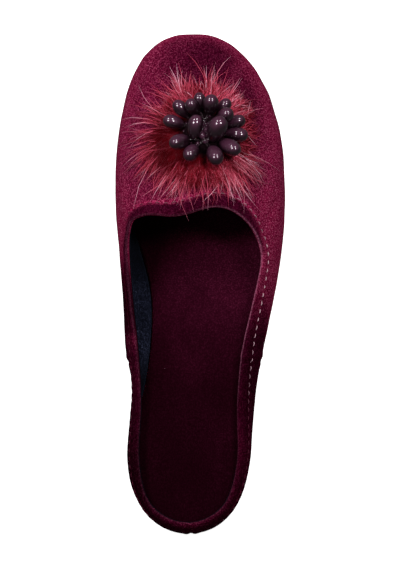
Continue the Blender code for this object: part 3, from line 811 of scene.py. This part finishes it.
def outward(outline):
    """Outward directions of a closed outline that runs from the heel up the inner side."""
    along = np.roll(outline, -1, axis=0) - np.roll(outline, 1, axis=0)
    return unit(np.stack([-along[:, 1], along[:, 0]], axis=1))


def wall_profiles(turn):
    """Fine lines up the outside of the upper, as section, sample, xyz."""
    foot = sole_outline(turn)
    rim_x, rim_y, rim_up = (values * MM for values in round_the_shoe(RIM_TABLE, turn))
    rim = np.stack([rim_x, rim_y], axis=1)
    shoulder, tightness, swell = (values[:, None] for values in round_the_shoe(WALL_TABLE, turn))
    inward = np.linspace(0, 1, PROFILE_SAMPLES)[None, :] ** PROFILE_CROWDING
    rise = shoulder * np.sqrt(1 - (1 - inward) ** tightness) + (1 - shoulder) * inward
    puff = swell * MM * np.sin(math.pi * np.clip(rise / SWELL_SPAN, 0, 1))
    plan = foot[:, None, :] + (rim - foot)[:, None, :] * inward[..., None]
    plan = plan + outward(foot)[:, None, :] * puff[..., None]
    floor = seat_height(foot[:, 1]) + FIT_GAP
    height = floor[:, None] + (rim_up - floor)[:, None] * rise
    return np.concatenate([plan, height[..., None]], axis=2)


def at_lengths(profiles, lengths):
    """Points at given lengths along each profile, as section, row, xyz."""
    steps = np.linalg.norm(np.diff(profiles, axis=1), axis=2)
    run = np.concatenate([np.zeros((len(profiles), 1)), np.cumsum(steps, axis=1)], axis=1)
    wanted = lengths(run[:, -1])
    picked = [
        [np.interp(w, r, p[:, axis]) for axis in range(3)] for p, r, w in zip(profiles, run, wanted)
    ]
    return np.array(picked).transpose(0, 2, 1)


def surface_normals(grid):
    """Outward normals of a grid that closes round the shoe."""
    round_shoe = np.roll(grid, -1, axis=0) - np.roll(grid, 1, axis=0)
    up_wall = np.gradient(grid, axis=1)
    return unit(np.cross(up_wall, round_shoe))


def upper_rows(turn):
    """Outer and inner faces of the upper, as section, row, xyz from the sole up."""
    profiles = wall_profiles(turn)

    def outer_lengths(whole):
        body = np.linspace(0, 1, OUTER_ROWS)[None, :] ** ROW_CROWDING * (whole - HEM_WIDTH)[:, None]
        hem = np.stack([whole - HEM_WIDTH + HEM_STEP, whole], axis=1)
        return np.concatenate([body, hem], axis=1)

    def inner_lengths(whole):
        return np.linspace(0, 1, INNER_ROWS)[None, :] ** ROW_CROWDING * whole[:, None]

    outer = at_lengths(profiles, outer_lengths)
    inner = at_lengths(profiles, inner_lengths)
    step = np.zeros(outer.shape[1])
    step[OUTER_ROWS:] = HEM_STEP
    outer = outer + surface_normals(outer) * step[None, :, None]
    inner = inner - surface_normals(inner) * WALL_THICK
    inner[:, 0, 2] = seat_height(inner[:, 0, 1]) + FIT_GAP
    return outer, inner


def rolled_rim(outer, inner):
    """Rows that round the rim over from the outer to the inner face."""
    a, b = outer[:, -1], inner[:, -1]
    onward = unit(outer[:, -1] - outer[:, -2])
    middle, reach = (a + b) / 2, np.linalg.norm(a - b, axis=1, keepdims=True) / 2
    rows = []
    for i in range(RIM_STEPS):
        angle = math.pi * (i + 1) / (RIM_STEPS + 1)
        rows.append(middle + (a - middle) * math.cos(angle) + onward * reach * math.sin(angle))
    return np.stack(rows, axis=1)


def wall_cage():
    """The upper's mesh on the last, with a map of its own: share of the way round, and ring."""
    turn = np.linspace(0, 360, SECTIONS, endpoint=False)
    outer, inner = upper_rows(turn)
    grid = np.concatenate([outer, rolled_rim(outer, inner), inner[:, ::-1]], axis=1).transpose(1, 0, 2)
    ring, section = (v.ravel() for v in np.meshgrid(np.arange(RINGS), np.arange(SECTIONS), indexing="ij"))
    corners = [(ring, section), (ring + 1, section), (ring + 1, section + 1), (ring, section + 1)]
    faces = np.stack([r % RINGS * SECTIONS + s % SECTIONS for r, s in corners], axis=1)
    spots = np.stack([np.stack([s / SECTIONS, r / RINGS], axis=1) for r, s in corners], axis=1)
    mesh = bpy.data.meshes.new("velvet_upper")
    mesh.from_pydata(grid.reshape(-1, 3), [], faces.tolist())
    mesh.uv_layers.new(name="wall").data.foreach_set("uv", spots.astype(np.float32).ravel())
    return mesh


def wall_places(piece):
    """Share of the way round and ring number of the upper's vertices."""
    mesh = piece.data
    corner = np.empty(len(mesh.loops), int)
    mesh.loops.foreach_get("vertex_index", corner)
    spots = np.empty(len(mesh.loops) * 2)
    mesh.uv_layers["wall"].data.foreach_get("uv", spots)
    found = np.empty((len(mesh.vertices), 2))
    found[corner] = spots.reshape(-1, 2)
    return found[:, 0] % 1, found[:, 1] * RINGS % RINGS


def ring_line(piece, ring):
    """Places and normals of one ring of the upper, in order."""
    share, rings = wall_places(piece)
    found = np.flatnonzero(np.abs(rings - ring) < 0.02)
    found = found[np.argsort(share[found])]
    return places(piece)[found], normals(piece)[found]


def run_of(line):
    """Length along a closed line up to each of its points, and the whole length."""
    steps = np.linalg.norm(np.roll(line, -1, axis=0) - line, axis=1)
    return np.concatenate([[0], np.cumsum(steps)[:-1]]), steps.sum()


def to_line(points, start, end):
    """Distance of points from a straight line."""
    along = np.clip((points - start) @ (end - start) / ((end - start) @ (end - start)), 0, 1)
    return np.linalg.norm(points - start - along[:, None] * (end - start), axis=1)


def crease_relief(points, tree):
    """Height of the main creases, whose ends lie on the wall."""
    relief = np.zeros(len(points))
    for start, end, width, depth in CREASES:
        ends = [np.array(tree.find_nearest(Vector(p) * MM)[0]) for p in (start, end)]
        relief -= depth * MM * bell(to_line(points, *ends), width * MM)
    return relief


def seam_relief(distance):
    """A seam: a groove with a soft roll on each side."""
    groove = SEAM_GROOVE * bell(distance, SEAM_GROOVE_WIDTH)
    return SEAM_ROLL * bell(np.abs(distance) - SEAM_ROLL_AWAY, SEAM_ROLL_WIDTH) - groove


def from_stitches(piece):
    """Distance of the upper's vertices from the stitches, stitches up to there, and their line's length."""
    line = ring_line(piece, STITCH_RING)[0]
    run, whole = run_of(line)
    near = KDTree(len(line))
    for i, point in enumerate(line):
        near.insert(point, i)
    near.balance()
    found = [near.find(point) for point in places(piece)]
    count = run[[f[1] for f in found]] / whole * round(whole / STITCH_PITCH)
    return np.array([f[2] for f in found]), count, whole


def upper_relief(piece):
    """How far each vertex of the upper moves along its normal."""
    points = places(piece)
    share, ring = wall_places(piece)
    x, y, z = points.T
    rings = [0, RIM_RING + 1, INSIDE_RING, INSIDE_RING + 1, RINGS - 1, RINGS]
    outside = np.interp(ring, rings, [1, 1, 0.3, 0, 0, 1])

    off_stitch, count, whole = from_stitches(piece)
    pucker = np.cos(math.tau * count)
    relief = -HEM_GROOVE * bell(off_stitch, HEM_GROOVE_WIDTH) * (1 + HEM_GROOVE_PUCKER * pucker)
    relief += HEM_ROLL * bell(off_stitch - HEM_ROLL_AWAY, HEM_ROLL_WIDTH) * (ring > STITCH_RING)
    relief += PUCKER * bell(off_stitch - PUCKER_AWAY, PUCKER_WIDTH) * pucker

    inner = (y - INNER_SEAM.y) - (z - INNER_SEAM.z) * INNER_SEAM_LEAN
    outer = (y - OUTER_SEAM.y) + (z - OUTER_SEAM.z) * OUTER_SEAM_LEAN
    outer = outer + (x - OUTER_SEAM.x) * OUTER_SEAM_SWEEP
    for side, distance in ((x < 0, inner), (x > 0, outer)):
        front = np.exp(-np.clip(distance, 0, None) / VAMP_EDGE_FADE) * VAMP_EDGE_PROUD
        front = front * np.interp(distance, [-VAMP_EDGE_STEP, VAMP_EDGE_STEP], [0, 1])
        relief += np.where(side, seam_relief(distance) + front, 0)
    relief += np.where(y < UPPER_BACK_Y, seam_relief(x - BACK_SEAM_X), 0)

    relief += crease_relief(points, tree_of(piece))
    gather = roughly(np.stack([share * whole, 0 * share, 0 * share], axis=1), GATHER_SIZE, GATHER_SEED)
    relief += GATHER * gather * np.interp(ring, GATHER_RINGS, GATHER_SHARE)
    return (relief + waves(points, UPPER_WAVES)) * outside


def make_upper():
    """Velvet upper on the solid's own wall, with its hem, seams and creases."""
    upper = new_piece("velvet_upper", wall_cage())
    subdivided(upper, 1)
    move_to(upper, places(upper) + normals(upper) * upper_relief(upper)[:, None])
    points = places(upper)
    # Painted shade on the quarters, painted sheen on the steep faces in front, and patches of painted light
    # and shade.
    front = np.interp(points[:, 1], QUARTER_SHADE_AT, [0, 1])
    steep = np.clip(EDGE_SHEEN_FROM - normals(upper)[:, 2], 0, 1) / EDGE_SHEEN_FROM
    nap_and_painted_light = QUARTER_SHADE * (1 - front) + EDGE_SHEEN * steep * front + patches(points, NAP_AND_SHADE_PATCHES)
    carry(upper, "nap_and_painted_light", nap_and_painted_light)
    finish = velvet("upper_velvet", VELVET_DEEP, VELVET_LIT, VELVET_GLINT, edge=True)
    settle(upper, finish, "upper")
    return upper


def make_lining(upper):
    """Fleece lining over the inside of the wall, below the turned hem."""
    ring = wall_places(upper)[1]
    faces = [min(ring[v] for v in f.vertices) > LINING_FROM_RING for f in upper.data.polygons]
    pick_faces(upper, faces)
    edit(upper)
    bpy.ops.mesh.duplicate()
    bpy.ops.mesh.separate(type="SELECTED")
    close_edit()
    lining = next(o for o in bpy.context.selected_objects if o != upper)
    lining.name = "fleece_lining"
    lining.parent = None
    for key in list(lining.keys()):
        del lining[key]
    finish_with(lining, "SOLIDIFY", thickness=LINING_THICK, offset=1.0)
    settle(lining, fleece())


def make_stitches(upper):
    """Top stitches along the hem, each sunk into the pile at both ends."""
    line, line_normals = ring_line(upper, STITCH_RING)
    run, whole = run_of(line)
    count = round(whole / STITCH_PITCH)
    pitch = whole / count
    closed_run = np.append(run, whole)

    def at(runs, values):
        closed = np.concatenate([values, values[:1]])
        return np.stack([np.interp(runs % whole, closed_run, closed[:, i]) for i in range(3)], axis=-1)

    share = np.linspace(0, 1, STITCH_STEPS)
    arch = np.sin(math.pi * share)
    runs = np.arange(count)[:, None] * pitch + (share - 0.5)[None, :] * STITCH_LENGTH + pitch / 2
    up = unit(at(runs, line_normals))
    forward = unit(at(runs + STITCH_PROBE, line) - at(runs - STITCH_PROBE, line))
    middle = at(runs, line) + up * (STITCH_ARCH * arch - STITCH_SUNK)[:, None]
    radius = STITCH_RADIUS * (STITCH_END + (1 - STITCH_END) * np.sqrt(arch))
    stitches = round_tubes("hem_stitches", middle, np.cross(forward, up), up, radius, STITCH_SIDES)
    settle(stitches, thread_finish())


# Insole, wedge and sole.


def make_insole():
    """Padded insole, rounded at its edge and hollowed by the foot."""
    insole = copy_of("insole", "padded_insole")
    finish_with(insole, "REMESH", mode="VOXEL", voxel_size=INSOLE_VOXEL, use_smooth_shade=True)
    finish_with(insole, "SMOOTH", factor=0.5, iterations=7)
    points = places(insole)
    top = np.clip(normals(insole)[:, 2] * 2 - 0.6, 0, 1)
    padding = (INSOLE_CROWN + patches(points, INSOLE_HOLLOWS)) * MM
    points[:, 2] += top * (padding + waves(points, INSOLE_WAVES))
    move_to(insole, points)
    y = points[:, 1]
    # Painted shade towards the heel and under the throat, patches of painted light and shade, and the pale
    # edge, partly wear and partly a painted highlight.
    pale_edge = WORN_LIT_EDGE * bell(normals(insole)[:, 2] - WORN_LIT_EDGE_SLOPE, WORN_LIT_EDGE_WIDTH)
    pale_edge = pale_edge * np.interp(y, WORN_LIT_EDGE_AT, [0, 1])
    carry(insole, "nap_and_painted_light", np.interp(y, INSOLE_SHADE_AT, INSOLE_SHADE) + patches(points, INSOLE_LIGHT_AND_SHADE) + pale_edge)
    colours = INSOLE_DEEP, INSOLE_LIT, INSOLE_GLINT
    finish = velvet("insole_velvet", *colours, flecks=0.22, sparks=0.50, lint=0.2)
    settle(insole, finish, "insole")


def make_wedge():
    """Foam wedge wrapped in velvet, with a seam at its back."""
    wedge = copy_of("wedge", "velvet_wedge")
    edit(wedge, "EDGE")
    bpy.ops.mesh.select_all(action="DESELECT")
    bpy.ops.mesh.edges_select_sharp(sharpness=math.radians(45))
    bpy.ops.transform.edge_crease(value=0.75)
    close_edit()
    subdivided(wedge, 3)
    points, out = places(wedge), normals(wedge)
    x, y = points[:, 0], points[:, 1]
    side = np.clip(1 - np.abs(out[:, 2]) * WEDGE_SIDE_ONLY, 0, 1)
    relief = waves(points, WEDGE_WAVES) + np.where(y < WEDGE_BACK_Y, seam_relief(x - BACK_SEAM_X), 0)
    move_to(wedge, points + out * (relief * side)[:, None])
    # Painted shade, darker towards the heel like the quarters above it.
    carry(wedge, "nap_and_painted_light", np.interp(y, WEDGE_SHADE_AT, WEDGE_SHADE))
    settle(wedge, velvet("wedge_velvet", VELVET_DEEP, VELVET_LIT, VELVET_GLINT), "wedge")


def make_outsole():
    """Rubber sole with a rounded edge and a recessed underside."""
    sole = copy_of("outsole", "rubber_sole")
    pick_faces(sole, [f.normal.z < SOLE_DOWNWARD for f in sole.data.polygons])
    edit(sole)
    bpy.ops.mesh.inset(thickness=SOLE_EDGE, use_boundary=True)
    bpy.ops.mesh.inset(thickness=SOLE_RECESS_SLOPE, depth=-TREAD_DEPTH, use_boundary=True)
    close_edit()
    bevel = {"width": SOLE_BEVEL, "segments": 2, "limit_method": "ANGLE", "angle_limit": math.radians(35)}
    finish_with(sole, "BEVEL", **bevel)
    finish = rubber()
    settle(sole, finish, "outsole")
    bpy.ops.object.shade_smooth_by_angle(angle=math.radians(40))
    return sole, finish


def make_tread(sole, finish):
    """Wavy ribs across the sole's recess, level with its edge."""
    tree = tree_of(sole)
    half = TREAD_WIDTH / 2
    ribs = []
    for y in np.arange(TREAD_FROM, TREAD_TO, TREAD_PITCH):
        hits = [tree.ray_cast(Vector((x, y, BELOW_ALL)), Vector((0, 0, 1)))[0] for x in TREAD_SEARCH]
        recess = ground_height(y) + TREAD_DEPTH / 2
        inside = [x for x, hit in zip(TREAD_SEARCH, hits) if hit and hit.z > recess]
        if not inside:
            continue
        x = np.linspace(min(inside) + TREAD_MARGIN, max(inside) - TREAD_MARGIN, TREAD_STEPS)
        middle = y + TREAD_WAVE * np.cos(math.tau * x / TREAD_WAVE_LENGTH)
        foot = ground_height(middle) + TREAD_ABOVE_FLOOR
        top = foot + TREAD_DEPTH + TREAD_ROOTED
        corners = ((-half * TREAD_TAPER, foot), (half * TREAD_TAPER, foot), (half, top), (-half, top))
        ribs.append(np.stack([np.stack([x, middle + off, z], axis=1) for off, z in corners], axis=1))
    tread = tube_piece("sole_tread", np.array(ribs))
    settle(tread, finish)
    bpy.ops.object.shade_smooth_by_angle(angle=math.radians(30))


# Rosette.


def from_middle(points):
    """Distance of points from the middle of the fur, seen from above."""
    return np.linalg.norm(points[:, :2] - np.array(FUR_MIDDLE), axis=1)


def make_fur_backing():
    """The rosette's backing, its edge drawn in so that the hairs cover it."""
    backing = copy_of("fur_rosette", "fur_backing")
    points = places(backing)
    drawn = np.interp(from_middle(points), BACKING_DRAWN_AT, BACKING_DRAWN)
    points[:, :2] = np.array(FUR_MIDDLE) + (points[:, :2] - np.array(FUR_MIDDLE)) * drawn[:, None]
    move_to(backing, points)
    subdivided(backing, 1)
    # Painted shade on the boss, which the beads shade.
    carry(backing, "boss", np.interp(from_middle(places(backing)), BOSS_SHADE_AT, [1, 0]))
    settle(backing, fur_ground(), "fur_rosette")
    return backing


class VampHeight:
    """Height of the vamp under the fur, carried on smoothly past its edges."""

    def __init__(self, upper, backing):
        self.tree = tree_of(upper)
        self.pad = tree_of(backing)
        points, out = places(upper), normals(upper)
        upward = (out[:, 2] > FIT_UPWARD) & (wall_places(upper)[1] < RIM_RING)
        kept = points[(from_middle(points) < FIT_NEAR) & upward]
        self.factors = np.linalg.lstsq(self.powers(kept[:, 0], kept[:, 1]), kept[:, 2], rcond=None)[0]

    @staticmethod
    def powers(x, y):
        u, v = (x - FUR_MIDDLE.x) / FIT_SPAN, (y - FUR_MIDDLE.y) / FIT_SPAN
        return np.stack([u**i * v**j for i in range(FIT_TERMS) for j in range(FIT_TERMS - i)], axis=-1)

    def at(self, x, y):
        return self.powers(x, y) @ self.factors

    def cleared(self, points):
        """Lifts points out of the vamp, and out of the rosette's pad past its boss."""
        for point, away in zip(points, from_middle(points)):
            for tree in (self.tree, self.pad) if away > BOSS_RADIUS else (self.tree,):
                hit = under(tree, point[0], point[1])
                if hit is not None and 0 < hit.z + HAIR_CLEAR - point[2] < DEEPEST_LIFT:
                    point[2] = hit.z + HAIR_CLEAR
        return points


def hair_plan(rng, count, reach, paler, strays):
    """Each hair's direction and distance at root and tip, rise, whether it strays, paleness and tone."""
    tuft = np.repeat(np.arange(len(TUFTS)), LOCKS_PER_TUFT)
    direction, spread, tuft_reach, share, pale, sweep = np.array(TUFTS)[tuft].T
    locks = len(tuft)
    direction = direction + rng.uniform(-LOCK_SPREAD, LOCK_SPREAD, locks) * spread
    lock_reach = tuft_reach * rng.uniform(*LOCK_REACH, locks) * reach
    pale = pale + rng.normal(0, LOCK_PALE, locks) + paler
    tone = rng.uniform(0, 1, locks)
    rise = rng.uniform(0, 1, locks)
    odds = share * rng.uniform(*LOCK_ODDS, locks)
    lock = rng.choice(locks, count, p=odds / odds.sum())
    stray = rng.random(count) < strays
    root_direction = direction[lock] - sweep[lock] + rng.normal(0, ROOT_SPREAD, count)
    tip_direction = direction[lock] + rng.normal(0, np.where(stray, STRAY_SPREAD, TIP_SPREAD), count)
    root = ROOT_FROM + (ROOT_TO - ROOT_FROM) * rng.uniform(0, 1, count) ** 0.8
    tip = lock_reach[lock] * rng.normal(np.where(stray, STRAY_REACH, TIP_REACH), REACH_VARIES, count) * MM
    hair_pale = pale[lock] + rng.normal(0, HAIR_PALE, count) + np.where(stray, STRAY_PALER, 0)
    hair_tone = tone[lock] * TONE_OF_LOCK + rng.random(count) * (1 - TONE_OF_LOCK)
    directions = np.radians(root_direction), np.radians(tip_direction)
    ends = root, np.maximum(tip, root + SHORTEST_HAIR)
    return *directions, *ends, rise[lock], stray, np.clip(hair_pale, 0, 1), hair_tone


def make_hairs(name, vamp):
    """One layer of the fur: tapered hairs that lie out over the vamp."""
    seed, count, thickness, reach, paler, strays = FUR_LAYERS[name]
    rng = np.random.default_rng(seed)
    *plan, stray, pale, tone = hair_plan(rng, count, reach, paler, strays)
    root_turn, tip_turn, root, tip, rise = (values[:, None] for values in plan)
    share = np.linspace(0, 1, HAIR_POINTS)[None, :]
    arch = np.sin(math.pi * share)
    sway = rng.normal(0, HAIR_SWAY, count)[:, None] * arch
    bend = share**HAIR_BEND
    turn = root_turn * (1 - bend) + tip_turn * bend + sway
    away = root + (tip - root) * share
    x = FUR_MIDDLE.x + away * np.cos(turn)
    y = FUR_MIDDLE.y + away * np.sin(turn)
    tips = np.where(stray, rng.uniform(*STRAY_HEIGHT, count), rng.uniform(*TIP_HEIGHT, count)) * MM
    hump = (HUMP + HUMP_VARIES * rise) * MM * arch * np.interp(away, HUMP_AT, HUMP_SHARE)
    height = ROOT_HEIGHT * (1 - share) + tips[:, None] * share**TIP_LIFT + hump
    line = np.stack([x, y, vamp.at(x, y) + height], axis=-1)
    middle = vamp.cleared(line.reshape(-1, 3)).reshape(line.shape)

    radius = (thickness * MM * rng.uniform(*HAIR_WIDTHS, count))[:, None] * np.array(HAIR_TAPER)[None, :]
    hairs = round_tubes(name, middle, *across_lines(middle, (0, 0, 1.0)), radius, HAIR_SIDES)
    # Painted shade: darker over the roots and in the partings of the fur.
    along = (away - SHADE_FROM) / (SHADE_TO - SHADE_FROM)
    for direction, width, shade in PARTINGS:
        apart = (np.degrees(turn) - direction + 180) % 360 - 180
        along = along - shade * bell(apart, width) * np.interp(away, PARTING_FADES, [1, 0])
    carry(hairs, "along", np.repeat(along.ravel(), HAIR_SIDES))
    for key, values in (("tone", tone), ("pale", pale)):
        carry(hairs, key, np.repeat(values, HAIR_POINTS * HAIR_SIDES))
    settle(hairs, fur_finish(name))


def bead_axis(points):
    """Middle of a bead, and the direction from its narrow end to its round end."""
    middle = points.mean(axis=0)
    axis = np.linalg.svd(points - middle, full_matrices=False)[2][0]
    along = (points - middle) @ axis
    off_axis = np.linalg.norm(points - middle - along[:, None] * axis, axis=1)
    return middle, axis * np.sign((along * off_axis).sum())


def swollen(points, wider, longer):
    """A bead's points made fuller, and longer towards its narrow end."""
    middle, axis = bead_axis(points)
    along = (points - middle) @ axis
    across = points - middle - along[:, None] * axis
    stretched = along.max() - (along.max() - along) * longer
    return middle + across * wider + stretched[:, None] * axis


def make_beads():
    """Drop beads on their CAD places, swollen until they touch; gives their necks and their material."""
    polish = bead_finish()
    necks = []
    for node in BEAD_NODES:
        bead = copy_of(node, f"polished_{node}")
        points = places(bead)
        middle, axis = bead_axis(points)
        necks.append(middle + axis * ((points - middle) @ axis).min() * NECK_AT)
        wider = BIG_WIDER if node in BIG_BEADS else BEAD_WIDER
        move_to(bead, swollen(points, wider, LYING_LONGER if node in LYING_BEADS else BEAD_LONGER))
        subdivided(bead, 2)
        # Painted light: lighter where the bead faces up and towards the toe.
        carry(bead, "lit", normals(bead) @ np.array(BEAD_LIT_FROM))
        settle(bead, polish, node)
    return np.array(necks), polish


def on_boss(tree, plan, lift):
    return np.array([(x, y, under(tree, x, y).z + lift) for x, y in plan])


def make_bead_threads(rng, tree, necks):
    """Clear threads from the boss to the beads' necks."""
    far = np.repeat(necks, THREADS_PER_BEAD, axis=0)
    far = far + rng.normal(0, THREAD_NECK_SPREAD, far.shape) * MM
    feet = rng.uniform(-THREAD_FOOT_SPREAD, THREAD_FOOT_SPREAD, (len(far), 2)) * MM
    near = on_boss(tree, np.array(FUR_MIDDLE) + feet, THREAD_FOOT_LIFT)
    share = np.linspace(0, 1, THREAD_STEPS)[None, :, None]
    middle = near[:, None] * (1 - share) + far[:, None] * share
    arch = (THREAD_ARCH + rng.uniform(0, THREAD_ARCH_VARIES, (len(far), 1))) * MM
    middle[..., 2] += arch * np.sin(math.pi * share[..., 0])
    radius = np.full(THREAD_STEPS, THREAD_RADIUS)
    threads = round_tubes("bead_threads", middle, *across_lines(middle, THREAD_ASIDE), radius, THREAD_SIDES)
    settle(threads, nylon())


def make_knots(rng, tree, polish):
    """Small stops between the beads, bigger in the middle of the cluster."""
    turn = rng.uniform(0, math.tau, KNOT_COUNT)
    away = rng.uniform(*KNOT_REACH, KNOT_COUNT) * MM
    plan = np.array(FUR_MIDDLE) + np.stack([np.cos(turn), np.sin(turn)], axis=1) * away[:, None]
    size = rng.uniform(*KNOT_VARIES, KNOT_COUNT) * np.interp(away, KNOT_SIZE_AT, KNOT_SIZE) * MM
    seat = on_boss(tree, plan, 0) + np.array([0, 0, KNOT_STANDS]) * size[:, None]
    tilt = np.linspace(KNOT_POLE, math.pi - KNOT_POLE, KNOT_RINGS)
    around = np.arange(KNOT_SIDES) / KNOT_SIDES * math.tau
    ring = np.stack([np.cos(around), np.sin(around), 0 * around], axis=1)
    ball = ring[None] * np.sin(tilt)[:, None, None]
    ball[..., 2] = -np.cos(tilt)[:, None]
    knots = tube_piece("bead_knots", seat[:, None, None] + ball[None] * size[:, None, None, None])
    # Painted light: the knots are painted almost as lit as the beads' upper sides.
    carry(knots, "lit", np.full(len(knots.data.vertices), KNOT_LIT))
    settle(knots, polish)


# Floor, light and camera.


def add_floor():
    """A plain pale floor that throws no light back on the slipper."""
    bpy.ops.mesh.primitive_plane_add(size=FLOOR_SIZE, location=(0, 0, -FLOOR_DROP))
    floor = bpy.context.object
    floor.name = "floor"
    finish = Finish("floor_white", Emission_Color=WHITE, Emission_Strength=FLOOR_GLOW)
    mottle = finish.noise(4)
    floor.data.materials.append(finish.paint(finish.mix(mottle, FLOOR_WHITE, FLOOR_PALE), 0.8))
    floor.visible_diffuse = False
    floor.visible_glossy = False


def add_light():
    """Four soft panes over the slipper and a dim white room."""
    for x in (-1, 1):
        for y in (-1, 1):
            place = PANES_MIDDLE + Vector((x * PANES_APART.x, y * PANES_APART.y, 0))
            bpy.ops.object.light_add(type="AREA", location=place)
            lamp = bpy.context.object
            lamp.data.shape = "SQUARE"
            lamp.data.size = PANE_SIZE
            lamp.data.energy = PANE_POWER
            lamp.rotation_euler = (PANES_AIM - place).to_track_quat("-Z", "Y").to_euler()
    world = bpy.context.scene.world or bpy.data.worlds.new("studio")
    bpy.context.scene.world = world
    world.use_nodes = True
    sockets = world.node_tree.nodes["Background"].inputs
    sockets["Color"].default_value = WHITE
    sockets["Strength"].default_value = ROOM_LIGHT


def add_camera():
    """The photograph's view, almost straight down."""
    place = LOOK_AT + Vector((math.sin(EYE_LEAN), 0, math.cos(EYE_LEAN))) * EYE_DISTANCE
    bpy.ops.object.camera_add(location=place, rotation=(0, EYE_LEAN, 0))
    camera = bpy.context.object
    camera.data.sensor_width = SENSOR_LONG_SIDE
    camera.data.lens = SENSOR_LONG_SIDE * EYE_DISTANCE / (PHOTO_HEIGHT * PIXEL)
    bpy.context.scene.camera = camera


def main():
    upper = make_upper()
    make_lining(upper)
    make_stitches(upper)
    make_insole()
    make_wedge()
    make_tread(*make_outsole())
    backing = make_fur_backing()
    vamp = VampHeight(upper, backing)
    for layer in FUR_LAYERS:
        make_hairs(layer, vamp)
    necks, polish = make_beads()
    rng = np.random.default_rng(5)
    make_bead_threads(rng, vamp.pad, necks)
    make_knots(rng, vamp.pad, polish)
    add_floor()
    add_light()
    add_camera()
    bpy.context.scene.view_settings.view_transform = "Standard"


main()
